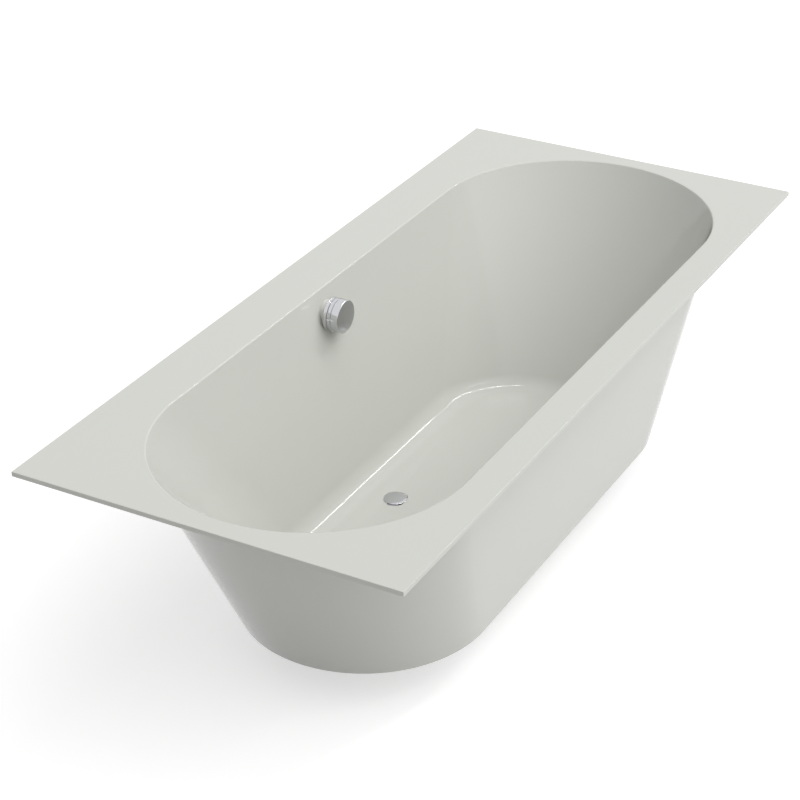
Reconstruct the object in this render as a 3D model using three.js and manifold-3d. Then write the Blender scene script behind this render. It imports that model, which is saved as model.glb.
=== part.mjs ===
// A drop-in bathtub with an oval basin, a bonded outer skin, four levelling feet
// and a waste and overflow set that is worked by a turning knob.
// Millimetres, +Z up. The origin lies on the ground under the middle of the rim.
// X runs along the bath and +Y points to the long side that carries the knob.
import * as THREE from "three";
import { mergeVertices } from "three/addons/utils/BufferGeometryUtils.js";
import Module from "manifold-3d";

const wasm = await Module();
wasm.setup();

// Rim and height
const rimLength = 1800;
const rimWidth = 800;
const rimThickness = 10;
const bodyDepth = 450;
const groundClearance = 95;

// Basin, measured on its inner surface. A run is how far a wall leans in from its top.
const endLedge = 41;
const frontLedge = 68;
const knobLedge = 112;
const openingEdgeRadius = 4;
const endWallRun = 341;
const sideWallRun = 105;
const floorRise = 18;
const floorFilletRadius = 55;
const floorFall = 3;
const sheetThickness = 4;

// Outer skin
const skinEndRun = 222;
const skinSideRun = 50;
const skinThickness = 3;
const skinJointGap = 0.8;
const skinLipWidth = 36;

// Base board under the basin floor
const boardInset = 45;
const boardBlankThickness = 22;
const boardWasteHoleRadius = 41;

// Leg set
const railSpread = 182;
const railEndInset = 20;
const railWidth = 40;
const railHeight = 30;
const railWall = 2;
const railEndHeight = 12;
const railEndTaper = 34;
const footInset = 120;
const spindleRadius = 5;
const spindleCollarRadius = 8;
const spindleCollarHeight = 5;
const nutAcrossFlats = 17;
const weldNutHeight = 8;
const lockNutHeight = 6;
const nutPlateThickness = 3;
const padRadius = 25;
const padHeight = 14;
const padEdgeHeight = 5;
const padHubRadius = 10;
const padSocketDepth = 9;
const railScrewRadius = 2.5;
const railScrewLength = 9;
const railScrewHeadRadius = 5;
const railScrewHeadHeight = 2.4;

// Drain
const drainX = -60;
const drainInset = 89;
const wasteFlangeRadius = 28.5;
const wasteFlangeThickness = 1.6;
const wasteBoreRadius = 18;
const wasteNeckRadius = 22;
const wasteNeckLength = 30;
const wasteSpiderDrop = 11;
const wasteSpiderHeight = 4;
const wasteSpiderHubRadius = 6;
const wasteSpokeWidth = 3;
const plugRadius = 25;
const plugEdgeHeight = 1.4;
const plugCrown = 1.6;
const plugCarrierRadius = 14.5;
const plugCarrierHeight = 6;
const plugCollarHeight = 1.2;
const plugSealRadius = 17.2;
const plugStemRadius = 3;
const plugTravel = 10;

// Waste body
const wasteGasketOuterRadius = 36;
const wasteGasketThickness = 3;
const wasteBodyFlangeHeight = 4;
const wasteBodyRadius = 30;
const wasteBodyWall = 4;
const wasteBodyHeight = 74;
const wasteFloorThickness = 3;
const hosePortDrop = 50;
const outletDrop = 58;
const outletRadius = 21;
const outletReach = 52;
const pipeWall = 3;

// Lift lever in the waste body
const leverTurn = 2.268928;
const leverPivotReach = 17;
const leverArm = 17.7;
const leverTail = 18;
const leverWidth = 6;
const leverArmHeight = 3;
const leverHubRadius = 4.6;
const leverPinRadius = 2;
const leverTipRadius = 2.6;
const leverTailRadius = 2;

// Trap
const trapInletLength = 18;
const trapRadius = 44;
const trapWall = 3;
const trapHeight = 71;
const trapTopRise = 32;
const trapBaffleGap = 8;
const trapLidHeight = 9;
const trapLidRadius = 48;
const trapOutletRise = 8;
const trapOutletRadius = 25;
const trapOutletLength = 20;
const elbowBendRadius = 45;
const elbowTurn = 0.785398;
const elbowStraight = 26;
const unionNutRadius = 27;
const unionNutLength = 22;
const sealThickness = 2;
const outletNutRadius = 32;
const outletNutLength = 24;

// Overflow and knob
const overflowX = -15;
const overflowDrop = 55;
const rosetteRadius = 36;
const rosetteDepth = 7.5;
const rosetteWall = 2;
const rosetteWallGap = 0.5;
const knobGap = 1;
const knobLength = 27.5;
const knobWall = 2.4;
const knobFaceThickness = 3;
const knobEdgeChamfer = 1.6;
const knobCrown = 1;
const knobGrooveDepth = 2;
const knobGrooveWidth = 2.4;
const knobGrooveReach = 17.5;
const knobGripWidth = 4;
const knobGripDepth = 1.6;
const knobGripLength = 17;
const knobGripReach = 10;
const knobGripTilt = 0.1745;
const knobHubRadius = 7;
const driveShaftRadius = 3.5;
const knobTurn = 1.570796;
const overflowFlangeRadius = 28;
const overflowFlangeThickness = 2.2;
const overflowNeckRadius = 22;
const overflowNeckWall = 2.5;
const overflowHoleRadius = 23;
const overflowHubRadius = 9;
const overflowSpokeWidth = 9;
const flangeScrewReach = 14;
const flangeScrewRadius = 2;
const flangeScrewHeadRadius = 3.6;
const flangeScrewHeadHeight = 1.8;
const outerGasketRadius = 31;
const overflowElbowSetback = 6;
const overflowElbowRadius = 28;
const overflowElbowWall = 3;
const overflowElbowLength = 44;
const overflowElbowFlangeRadius = 33;
const overflowElbowFlangeThickness = 4;
const lugRadius = 5;
const lugStart = 7;
const lugLength = 8;
const cableWheelRadius = 10;
const cableWheelWidth = 6;
const cableWheelStart = 19;
const cableWheelRimWidth = 1.5;
const rearBossRadius = 8;
const rearBossLength = 7;
const spigotStart = 20;
const hosePortLength = 34;
const hosePortRadius = 17;
const hoseBore = 13;
const hoseRibRadius = 17;
const hoseValleyRadius = 14.6;
const hoseRibPitch = 9.5;
const hoseNutRadius = 22;
const hoseNutLength = 24;
const cableRadius = 2.5;
const cableBend = 50;
const wireRadius = 0.8;
const glandRadius = 5;
const glandLength = 14;
const pullWireStop = 0.8;

// Clearances and shared values
const slipGap = 0.3;
const nutGap = 0.4;
const holeGap = 0.5;
const cutOverrun = 8;
const endSteps = 24;
const filletSteps = 5;
const edgeSteps = 3;
const fineSegments = 36;
const roundSegments = 20;
const smallSegments = 12;
const hoseSides = 8;
const boreRingEvery = 5;
const cableSides = 8;
const cableSteps = 52;

// Levels and places that follow from the sizes above
const rimTop = groundClearance + bodyDepth;
const rimUnderside = rimTop - rimThickness;
const openingHalfLength = rimLength / 2 - endLedge;
const openingHalfWidth = (rimWidth - frontLedge - knobLedge) / 2;
const basinY = (frontLedge - knobLedge) / 2;
const floorHalfLength = openingHalfLength - endWallRun;
const floorHalfWidth = openingHalfWidth - sideWallRun;
const floorDepth = bodyDepth - floorRise;
const skinFootHalfLength = openingHalfLength - skinEndRun;
const skinFootHalfWidth = openingHalfWidth - skinSideRun;
const railSpacing = floorHalfLength + railSpread;
const railLength = 2 * (skinFootHalfWidth - railEndInset);
const footTrack = railLength - 2 * footInset;
const railScrewSpread = footTrack / 4;
const sideSlope = (openingHalfWidth - floorHalfWidth) / floorDepth;
const basinFloor = rimTop - floorDepth;
const drainFloor = basinFloor - floorFall;
const drainUnderside = drainFloor - sheetThickness;
const drainY = basinY + floorHalfWidth - drainInset;
const portHeight = drainFloor - hosePortDrop;
const outletHeight = drainFloor - outletDrop;
const trapReach = outletReach + sealThickness + trapInletLength + trapRadius;
const trapOutletHeight = outletHeight + trapOutletRise;
const trapTop = outletHeight + trapTopRise;
const trapBase = trapTop - trapHeight;
const trapBaffleLow = trapBase + trapBaffleGap;
const wallReach =
  sheetThickness * Math.hypot(1, sideSlope) - rimThickness * sideSlope;
const skinTopReach = wallReach + skinJointGap + skinThickness * 1.01;
const skinTopHalfLength = openingHalfLength + skinTopReach;
const skinTopHalfWidth = openingHalfWidth + skinTopReach;
const overflowZ = rimTop - overflowDrop;
const overflowElbowFace = basinY + openingHalfWidth + overflowElbowSetback;
const rosetteBack =
  basinY +
  openingHalfWidth -
  (overflowDrop + rosetteRadius) * sideSlope -
  rosetteWallGap;
const rosetteFront = rosetteBack - rosetteDepth;
const knobBack = rosetteFront - knobGap;
const knobFront = knobBack - knobLength;
const elbowRear = overflowElbowFace + overflowElbowLength;
const hoseLineY = overflowElbowFace + overflowElbowLength / 2;
const leverSwing = Math.asin(plugTravel / 2 / leverArm);
const wireTravel = 2 * leverTail * Math.sin(leverSwing);
const wireReach = wireTravel / knobTurn;

// Finishes
const acrylic = finish(0xcecfc9, 0.18, 0);
const chrome = finish(0xc9ccd0, 0.08, 1);
const zincSteel = finish(0xa9adb0, 0.4, 0.9);
const brassNut = finish(0xb8bcbf, 0.35, 0.9);
const boardWood = finish(0x9c8465, 0.85, 0);
const whitePlastic = finish(0xe6e6e2, 0.45, 0);
const greyPlastic = finish(0x8d9194, 0.5, 0);
const blackRubber = finish(0x26272a, 0.8, 0);
const whiteRubber = finish(0xd8d8d2, 0.75, 0);

function finish(color, roughness, metalness) {
  return new THREE.MeshStandardMaterial({ color, roughness, metalness });
}

// Turns a closed geometry into a solid whose faces point outwards.
function solidOf(geometry) {
  const bare = new THREE.BufferGeometry();
  bare.setAttribute("position", geometry.getAttribute("position"));
  if (geometry.index) bare.setIndex(geometry.index);
  const merged = mergeVertices(bare, 1e-4);
  const corners = [];
  const index = merged.index.array;
  for (let i = 0; i < index.length; i += 3) {
    const [a, b, c] = [index[i], index[i + 1], index[i + 2]];
    if (a !== b && b !== c && c !== a) corners.push(a, b, c);
  }
  const vertProperties = new Float32Array(merged.attributes.position.array);
  const made = meshSolid(vertProperties, corners);
  return made.volume() < 0 ? meshSolid(vertProperties, corners.reverse()) : made;
}

function meshSolid(vertProperties, corners) {
  const triVerts = new Uint32Array(corners);
  return new wasm.Manifold(new wasm.Mesh({ numProp: 3, vertProperties, triVerts }));
}

function geometryOf(solid) {
  const { numProp, vertProperties, triVerts } = solid.getMesh();
  const points = new Float32Array((vertProperties.length / numProp) * 3);
  for (let i = 0; i < points.length / 3; i++)
    points.set(vertProperties.subarray(i * numProp, i * numProp + 3), i * 3);
  const geometry = new THREE.BufferGeometry();
  geometry.setAttribute("position", new THREE.BufferAttribute(points, 3));
  geometry.setIndex(new THREE.BufferAttribute(triVerts, 1));
  geometry.computeVertexNormals();
  return geometry;
}

function join(first, ...others) {
  return others.reduce((all, one) => all.add(one), first);
}

function cut(first, ...tools) {
  return tools.reduce((rest, tool) => rest.subtract(tool), first);
}

// A body of revolution about a line along Y: the profile is [radius, y] pairs.
function turned(profile, segments = roundSegments) {
  const points = profile.map(([r, y]) => new THREE.Vector2(r, y));
  points.push(points[0].clone());
  return new THREE.LatheGeometry(points, segments);
}

// The same about an upright line: the profile is [radius, z] pairs.
function upright(profile, segments = roundSegments) {
  return turned(profile, segments).rotateX(Math.PI / 2);
}

function ring(outer, inner, low, high) {
  return [
    [inner, low],
    [outer, low],
    [outer, high],
    [inner, high],
  ];
}

function disc(radius, low, high) {
  return ring(radius, 0, low, high);
}

function block(width, depth, height, x = 0, y = 0, z = 0) {
  return new THREE.BoxGeometry(width, depth, height).translate(x, y, z);
}

// A tube along X, from one x to another, at a height and a sideways place.
function alongX(outer, inner, from, to, y, z, segments = roundSegments) {
  const profile = ring(outer, inner, from, to);
  return turned(profile, segments).rotateZ(-Math.PI / 2).translate(0, y, z);
}

// An outline with straight sides and half-round ends, with its outward normals.
function stadium(halfLength, halfWidth) {
  const points = [];
  for (const side of [1, -1]) {
    for (let i = 0; i <= endSteps; i++) {
      const angle = Math.PI * (i / endSteps - 0.5);
      const nx = side * Math.cos(angle);
      const ny = side * Math.sin(angle);
      const x = side * (halfLength - halfWidth) + halfWidth * nx;
      points.push({ x, y: basinY + halfWidth * ny, nx, ny });
    }
  }
  return points;
}

// Joins rings of equal point count into a closed solid, capped by a fan at each end.
function loft(rings, startPoint, endPoint) {
  const count = rings[0].length;
  const points = rings.flat();
  const index = [];
  for (let j = 0; j + 1 < rings.length; j++) {
    for (let i = 0; i < count; i++) {
      const a = j * count + i;
      const b = j * count + ((i + 1) % count);
      index.push(a, a + count, b, b, a + count, b + count);
    }
  }
  const start = points.push(startPoint) - 1;
  const end = points.push(endPoint) - 1;
  const last = (rings.length - 1) * count;
  for (let i = 0; i < count; i++) {
    const next = (i + 1) % count;
    index.push(start, i, next, end, last + next, last + i);
  }
  const geometry = new THREE.BufferGeometry().setFromPoints(points);
  geometry.setIndex(index);
  return solidOf(geometry);
}

// One upright slice of the basin's surface, from the rim down to the floor.
// The slice is moved outwards by offset, which gives the back of the sheet.
function bowlSlice(edge, corner, offset) {
  const outward = new THREE.Vector3(edge.nx, edge.ny, 0);
  const run = (edge.x - corner.x) * edge.nx + (edge.y - corner.y) * edge.ny;
  const lean = Math.atan2(run, floorDepth);
  const at = (base, out, up) => {
    const point = new THREE.Vector3(base.x, base.y, base.z ?? rimTop);
    point.addScaledVector(outward, out);
    point.z += up;
    return point;
  };
  const slice = [];
  if (offset === 0) {
    const flat = openingEdgeRadius / Math.tan(Math.PI / 4 + lean / 2);
    slice.push(at(edge, flat, cutOverrun));
    for (let i = 0; i <= edgeSteps; i++) {
      const angle = Math.PI / 2 + (lean - Math.PI / 2) * (i / edgeSteps);
      const out = flat - openingEdgeRadius * Math.cos(angle);
      const up = openingEdgeRadius * (Math.sin(angle) - 1);
      slice.push(at(edge, out, up));
    }
  } else {
    const depth = rimThickness / 2;
    const along = (depth - offset * Math.sin(lean)) / Math.cos(lean);
    const out = offset * Math.cos(lean) - along * Math.sin(lean);
    slice.push(at(edge, out, -depth));
  }
  const inset = floorFilletRadius * Math.tan(Math.PI / 4 - lean / 2);
  const centre = at({ x: corner.x, y: corner.y, z: basinFloor }, -inset, floorFilletRadius);
  const radius = floorFilletRadius + offset;
  for (let i = 0; i <= filletSteps; i++) {
    const angle = lean + (Math.PI / 2 - lean) * (i / filletSteps);
    slice.push(at(centre, radius * Math.cos(angle), -radius * Math.sin(angle)));
  }
  return slice;
}

// The solid that fills the basin: its inner surface, or that of the sheet's back.
function bowl(offset) {
  const edges = stadium(openingHalfLength, openingHalfWidth);
  const corners = stadium(floorHalfLength, floorHalfWidth);
  const slices = edges.map((edge, i) => bowlSlice(edge, corners[i], offset));
  const rings = slices[0].map((_, j) => slices.map((slice) => slice[j]));
  const top = new THREE.Vector3(0, basinY, rings[0][0].z);
  const low = new THREE.Vector3(drainX, drainY, drainFloor - offset);
  return loft(rings, top, low);
}

// The space bounded by the outer skin's outside, moved inwards by offset.
function skinSpace(offset, low, high) {
  const tops = stadium(skinTopHalfLength, skinTopHalfWidth);
  const feet = stadium(skinFootHalfLength, skinFootHalfWidth);
  const height = rimUnderside - groundClearance;
  const level = (z) =>
    tops.map((top, i) => {
      const foot = feet[i];
      const share = (z - groundClearance) / height;
      const run = (top.x - foot.x) * top.nx + (top.y - foot.y) * top.ny;
      const inward = offset * Math.hypot(1, run / height);
      const x = foot.x + (top.x - foot.x) * share - top.nx * inward;
      const y = foot.y + (top.y - foot.y) * share - top.ny * inward;
      return new THREE.Vector3(x, y, z);
    });
  const middle = (z) => new THREE.Vector3(0, basinY, z);
  return loft([level(high), level(low)], middle(high), middle(low));
}

// A flat-ended block with the stadium outline.
function slab(halfLength, halfWidth, low, high) {
  const level = (z) =>
    stadium(halfLength, halfWidth).map((p) => new THREE.Vector3(p.x, p.y, z));
  const middle = (z) => new THREE.Vector3(0, basinY, z);
  return loft([level(high), level(low)], middle(high), middle(low));
}

// A straight cutter along Y through the wall at the overflow.
function overflowBore(radius, from, to) {
  const bore = turned(disc(radius, from, to)).translate(overflowX, 0, overflowZ);
  return solidOf(bore);
}

function hexagon(acrossFlats, hole, low, high) {
  const shape = new THREE.Shape();
  const corner = acrossFlats / Math.sqrt(3);
  for (let i = 0; i < 6; i++) {
    const angle = (i * Math.PI) / 3;
    const x = corner * Math.cos(angle);
    const y = corner * Math.sin(angle);
    if (i === 0) shape.moveTo(x, y);
    else shape.lineTo(x, y);
  }
  shape.holes.push(new THREE.Path().absarc(0, 0, hole, 0, 2 * Math.PI, true));
  const options = { depth: high - low, bevelEnabled: false, curveSegments: smallSegments };
  return new THREE.ExtrudeGeometry(shape, options).translate(0, 0, low);
}

// A ribbed hose with its bore, swept along a curve. Its ends are smooth cuffs.
function ribbedHose(curve) {
  const length = curve.getLength();
  const cuff = 2 * hosePortRadius;
  const ribs = Math.floor((length - 2 * cuff) / hoseRibPitch);
  const pitch = (length - 2 * cuff) / ribs;
  const outside = [[0, hosePortRadius]];
  for (let i = 0; i <= ribs; i++) {
    const start = cuff + i * pitch;
    if (i === 0) outside.push([start - pitch / 2, hosePortRadius]);
    else outside.push([start - pitch / 2, hoseRibRadius]);
    outside.push([start, i === ribs ? hosePortRadius : hoseValleyRadius]);
  }
  outside.push([length, hosePortRadius]);
  const inside = outside
    .filter((_, i) => i % (2 * boreRingEvery) === 0)
    .map(([at]) => [at, hoseBore]);
  inside.push([length, hoseBore]);
  const rings = [...outside, ...inside.reverse()];
  const points = [];
  const side = new THREE.Vector3();
  const up = new THREE.Vector3(1, 0, 0);
  for (const [at, radius] of rings) {
    const share = at / length;
    const centre = curve.getPointAt(share);
    const ahead = curve.getTangentAt(share);
    side.crossVectors(ahead, up).normalize();
    const lift = new THREE.Vector3().crossVectors(side, ahead);
    for (let k = 0; k < hoseSides; k++) {
      const angle = (2 * Math.PI * k) / hoseSides;
      const point = centre.clone();
      point.addScaledVector(side, radius * Math.cos(angle));
      point.addScaledVector(lift, radius * Math.sin(angle));
      points.push(point);
    }
  }
  const index = [];
  for (let j = 0; j < rings.length; j++) {
    const next = (j + 1) % rings.length;
    for (let k = 0; k < hoseSides; k++) {
      const a = j * hoseSides + k;
      const b = j * hoseSides + ((k + 1) % hoseSides);
      const c = next * hoseSides + k;
      const d = next * hoseSides + ((k + 1) % hoseSides);
      index.push(a, c, b, b, c, d);
    }
  }
  const geometry = new THREE.BufferGeometry().setFromPoints(points);
  geometry.setIndex(index);
  return solidOf(geometry);
}

const bath = new THREE.Group();

function add(name, shape, material, parent = bath) {
  const geometry = shape.isBufferGeometry ? geometryOf(solidOf(shape)) : geometryOf(shape);
  const mesh = new THREE.Mesh(geometry, material);
  mesh.name = name;
  parent.add(mesh);
  return mesh;
}

// Basin: the rim plate and the bowl in one sheet, with the waste and overflow holes.
function basin() {
  const plate = solidOf(block(rimLength, rimWidth, rimThickness, 0, 0, rimTop - rimThickness / 2));
  const recess = upright(
    disc(wasteFlangeRadius + slipGap, drainFloor - wasteFlangeThickness - slipGap, basinFloor),
    fineSegments,
  ).translate(drainX, drainY, 0);
  const wasteHole = upright(
    disc(wasteNeckRadius + holeGap, drainUnderside - cutOverrun, basinFloor),
  ).translate(drainX, drainY, 0);
  return cut(
    plate.add(bowl(sheetThickness)),
    bowl(0),
    solidOf(recess),
    solidOf(wasteHole),
    overflowBore(overflowHoleRadius, rosetteBack, overflowElbowFace),
  );
}
add("basin", basin(), acrylic);

// Outer skin: one tapered wall from the rim's underside to a sharp foot with a lip.
function outerSkin() {
  return cut(
    skinSpace(0, groundClearance, rimUnderside),
    skinSpace(skinThickness, groundClearance + skinThickness, rimUnderside + cutOverrun),
    slab(
      skinFootHalfLength - skinLipWidth,
      skinFootHalfWidth - skinLipWidth,
      groundClearance - cutOverrun,
      groundClearance + cutOverrun,
    ),
    overflowBore(overflowHoleRadius, rosetteBack, overflowElbowFace),
  );
}
add("outer_skin", outerSkin(), acrylic);

// Base board: laid against the basin's underside, level with the skin's foot.
function baseBoard() {
  const blank = slab(
    floorHalfLength - boardInset,
    floorHalfWidth - boardInset,
    groundClearance,
    groundClearance + boardBlankThickness,
  );
  const hole = upright(
    disc(boardWasteHoleRadius, groundClearance - cutOverrun, basinFloor),
  ).translate(drainX, drainY, 0);
  const pilots = railScrewPlaces().map(([x, y]) => {
    const top = groundClearance + railScrewLength;
    const pilot = disc(railScrewRadius + slipGap, groundClearance - cutOverrun, top);
    return solidOf(upright(pilot, smallSegments).translate(x, y, 0));
  });
  return cut(blank, bowl(sheetThickness + slipGap), solidOf(hole), ...pilots);
}

function railScrewPlaces() {
  return [-1, 1].flatMap((end) =>
    [-1, 1].map((side) => [(end * railSpacing) / 2, basinY + side * railScrewSpread]),
  );
}
add("base_board", baseBoard(), boardWood);

// Leg rails: folded channels, open downwards, with tapered ends and welded nuts.
const nutPlateTop = groundClearance - railHeight + nutPlateThickness;
const nutPlateLow = groundClearance - railHeight;

function legRail() {
  const half = railWidth / 2;
  const shape = new THREE.Shape();
  shape.moveTo(-half, -railHeight);
  shape.lineTo(-half, 0);
  shape.lineTo(half, 0);
  shape.lineTo(half, -railHeight);
  shape.lineTo(half - railWall, -railHeight);
  shape.lineTo(half - railWall, -railWall);
  shape.lineTo(-half + railWall, -railWall);
  shape.lineTo(-half + railWall, -railHeight);
  const options = { depth: railLength, bevelEnabled: false };
  const folded = new THREE.ExtrudeGeometry(shape, options)
    .rotateX(Math.PI / 2)
    .translate(0, railLength / 2, groundClearance);
  let rail = solidOf(folded);
  const wedge = new THREE.Shape();
  wedge.moveTo(railLength / 2 - railEndTaper, -railHeight);
  wedge.lineTo(railLength / 2, -railEndHeight);
  wedge.lineTo(railLength / 2 + cutOverrun, -railEndHeight);
  wedge.lineTo(railLength / 2 + cutOverrun, -railHeight - cutOverrun);
  wedge.lineTo(railLength / 2 - railEndTaper, -railHeight - cutOverrun);
  const wedgeOptions = { depth: railWidth + cutOverrun, bevelEnabled: false };
  for (const side of [1, -1]) {
    const tool = new THREE.ExtrudeGeometry(wedge, wedgeOptions)
      .translate(0, 0, -(railWidth + cutOverrun) / 2)
      .rotateX(Math.PI / 2)
      .rotateZ((side * Math.PI) / 2)
      .translate(0, 0, groundClearance);
    rail = rail.subtract(solidOf(tool));
  }
  for (const side of [1, -1]) {
    const y = (side * footTrack) / 2;
    const plateDepth = 2 * nutAcrossFlats;
    const plateZ = (nutPlateLow + nutPlateTop) / 2;
    const width = railWidth - railWall;
    const plate = solidOf(block(width, plateDepth, nutPlateThickness, 0, y, plateZ));
    const nut = hexagon(
      nutAcrossFlats,
      spindleRadius + nutGap,
      nutPlateTop - nutPlateThickness / 2,
      nutPlateTop + weldNutHeight,
    ).translate(0, y, 0);
    const bore = upright(
      disc(spindleRadius + nutGap, nutPlateLow - cutOverrun, nutPlateTop + weldNutHeight),
      smallSegments,
    ).translate(0, y, 0);
    rail = join(rail, plate, solidOf(nut)).subtract(solidOf(bore));
    const hole = upright(
      disc(railScrewRadius + slipGap, groundClearance - cutOverrun, groundClearance + cutOverrun),
      smallSegments,
    ).translate(0, side * railScrewSpread, 0);
    rail = rail.subtract(solidOf(hole));
  }
  return rail;
}

// Levelling foot: spindle with its collar, lock nut and pad.
const spindleTop = groundClearance - railWall - slipGap;
const padCollarLow = padHeight + slipGap;

function footSpindle() {
  const foot = padHeight - padSocketDepth + slipGap;
  return upright(
    [
      [0, foot],
      [spindleRadius, foot],
      [spindleRadius, padCollarLow],
      [spindleCollarRadius, padCollarLow],
      [spindleCollarRadius, padCollarLow + spindleCollarHeight],
      [spindleRadius, padCollarLow + spindleCollarHeight],
      [spindleRadius, spindleTop],
      [0, spindleTop],
    ],
    smallSegments,
  );
}

function footPad() {
  const socket = spindleRadius + slipGap;
  const socketFloor = padHeight - padSocketDepth;
  return upright([
    [0, 0],
    [padRadius, 0],
    [padRadius, padEdgeHeight],
    [padHubRadius, padHeight - slipGap],
    [padHubRadius, padHeight],
    [socket, padHeight],
    [socket, socketFloor],
    [0, socketFloor],
  ]);
}

for (const [end, endName] of [[-1, "head"], [1, "foot"]]) {
  const x = (end * railSpacing) / 2;
  const rail = add("leg_rail_" + endName, legRail(), zincSteel);
  rail.position.set(x, basinY, 0);
  for (const [side, sideName] of [[-1, "front"], [1, "back"]]) {
    const tag = "_" + endName + "_" + sideName;
    const leg = new THREE.Group();
    leg.position.set(x, basinY + (side * footTrack) / 2, 0);
    bath.add(leg);
    const lockNutTop = nutPlateLow - slipGap;
    const lockNut = hexagon(
      nutAcrossFlats,
      spindleRadius + nutGap,
      lockNutTop - lockNutHeight,
      lockNutTop,
    );
    add("lock_nut" + tag, lockNut, brassNut, leg);
    add("foot_spindle" + tag, footSpindle(), zincSteel, leg);
    add("foot_pad" + tag, footPad(), greyPlastic, leg);
  }
}

const screwNames = ["head_front", "head_back", "foot_front", "foot_back"];
railScrewPlaces().forEach(([x, y], i) => {
  const seat = groundClearance - railWall - slipGap;
  const screw = upright(
    [
      [0, seat - railScrewHeadHeight],
      [railScrewHeadRadius, seat - railScrewHeadHeight],
      [railScrewHeadRadius, seat],
      [railScrewRadius, seat],
      [railScrewRadius, groundClearance + railScrewLength - holeGap],
      [0, groundClearance + railScrewLength - holeGap],
    ],
    smallSegments,
  ).translate(x, y, 0);
  add("rail_screw_" + screwNames[i], screw, zincSteel);
});

// Waste: everything turned about the drain's upright line.
const waste = new THREE.Group();
waste.position.set(drainX, drainY, 0);
bath.add(waste);

const gasketTop = drainUnderside - slipGap;
const gasketLow = gasketTop - wasteGasketThickness;
const bodyTop = gasketLow - slipGap;
const bodyBottom = bodyTop - wasteBodyHeight;
const bodyInner = wasteBodyRadius - wasteBodyWall;

function wasteFlange() {
  const neckLow = drainFloor - wasteNeckLength;
  const shell = solidOf(
    upright(
      [
        [wasteBoreRadius, neckLow],
        [wasteNeckRadius, neckLow],
        [wasteNeckRadius, drainFloor - wasteFlangeThickness],
        [wasteFlangeRadius, drainFloor - wasteFlangeThickness],
        [wasteFlangeRadius, drainFloor - wasteFlangeThickness / 2],
        [wasteFlangeRadius - wasteFlangeThickness / 2, drainFloor],
        [wasteBoreRadius, drainFloor],
      ],
      fineSegments,
    ),
  );
  const spiderTop = drainFloor - wasteSpiderDrop;
  const spiderLow = spiderTop - wasteSpiderHeight;
  const hub = solidOf(upright(disc(wasteSpiderHubRadius, spiderLow, spiderTop), smallSegments));
  const reach = wasteBoreRadius + wasteNeckRadius;
  const middle = (spiderLow + spiderTop) / 2;
  const spokes = [0, Math.PI / 2].map((angle) =>
    solidOf(block(reach, wasteSpokeWidth, wasteSpiderHeight, 0, 0, middle).rotateZ(angle)),
  );
  const bore = upright(
    disc(plugStemRadius + slipGap, spiderLow - cutOverrun, spiderTop + cutOverrun),
    smallSegments,
  );
  return join(shell, hub, ...spokes).subtract(solidOf(bore));
}
add("waste_flange", wasteFlange(), chrome, waste);

const gasketRing = ring(
  wasteGasketOuterRadius,
  wasteNeckRadius + holeGap,
  gasketLow,
  gasketTop,
);
add("waste_gasket", upright(gasketRing), blackRubber, waste);

// Waste body: a cup with a threaded mouth, a hose port, an outlet and a cable gland.
const leverPivotZ = bodyTop - wasteBodyHeight / 2 - leverHubRadius;
const glandHeight = leverPivotZ - leverTail * Math.cos(leverSwing);

function wasteBody() {
  const flangeLow = bodyTop - wasteBodyFlangeHeight;
  const mouth = wasteNeckRadius + slipGap;
  const mouthLow = drainFloor - wasteNeckLength - slipGap;
  const cup = solidOf(
    upright([
      [0, bodyBottom],
      [wasteBodyRadius, bodyBottom],
      [wasteBodyRadius, flangeLow],
      [wasteGasketOuterRadius, flangeLow],
      [wasteGasketOuterRadius, bodyTop],
      [mouth, bodyTop],
      [mouth, mouthLow],
      [bodyInner, mouthLow - wasteBodyWall],
      [bodyInner, bodyBottom + wasteFloorThickness],
      [0, bodyBottom + wasteFloorThickness],
    ]),
  );
  const from = bodyInner + wasteBodyWall / 2;
  const hosePort = turned(ring(hosePortRadius, hoseBore, from, wasteBodyRadius + hosePortLength));
  const outlet = alongX(outletRadius, outletRadius - pipeWall, from, outletReach, 0, outletHeight);
  const glandEnd = wasteBodyRadius + glandLength;
  const gland = alongX(glandRadius, 0, from, glandEnd, 0, glandHeight, smallSegments);
  const joined = join(
    cup,
    solidOf(hosePort.translate(0, 0, portHeight)),
    solidOf(outlet),
    solidOf(gland.rotateZ(leverTurn)),
  );
  const hoseHole = turned(disc(hoseBore, wasteNeckRadius / 2, wasteBodyRadius + hosePortLength));
  const outletBore = alongX(outletRadius - pipeWall, 0, wasteNeckRadius, outletReach, 0, outletHeight);
  const wireBore = wireRadius + slipGap;
  const wireHole = alongX(wireBore, 0, wasteNeckRadius, glandEnd, 0, glandHeight, smallSegments);
  const pinLength = wasteBodyRadius + cutOverrun;
  const pinHole = turned(disc(leverPinRadius + slipGap, -pinLength, pinLength), smallSegments)
    .translate(-leverPivotReach, 0, leverPivotZ)
    .rotateZ(leverTurn);
  return cut(
    joined,
    solidOf(hoseHole.translate(0, 0, portHeight)),
    solidOf(outletBore),
    solidOf(wireHole.rotateZ(leverTurn)),
    solidOf(pinHole),
  );
}
add("waste_body", wasteBody(), whitePlastic, waste);

// Plug: a domed cap on a seal carrier, its stem and its seal.
const capLow = drainFloor + slipGap;
const carrierLow = drainFloor - plugCarrierHeight;
const leverTipZ = leverPivotZ - leverArm * Math.sin(leverSwing);
const stemLow = leverTipZ + leverTipRadius + slipGap;

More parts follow.
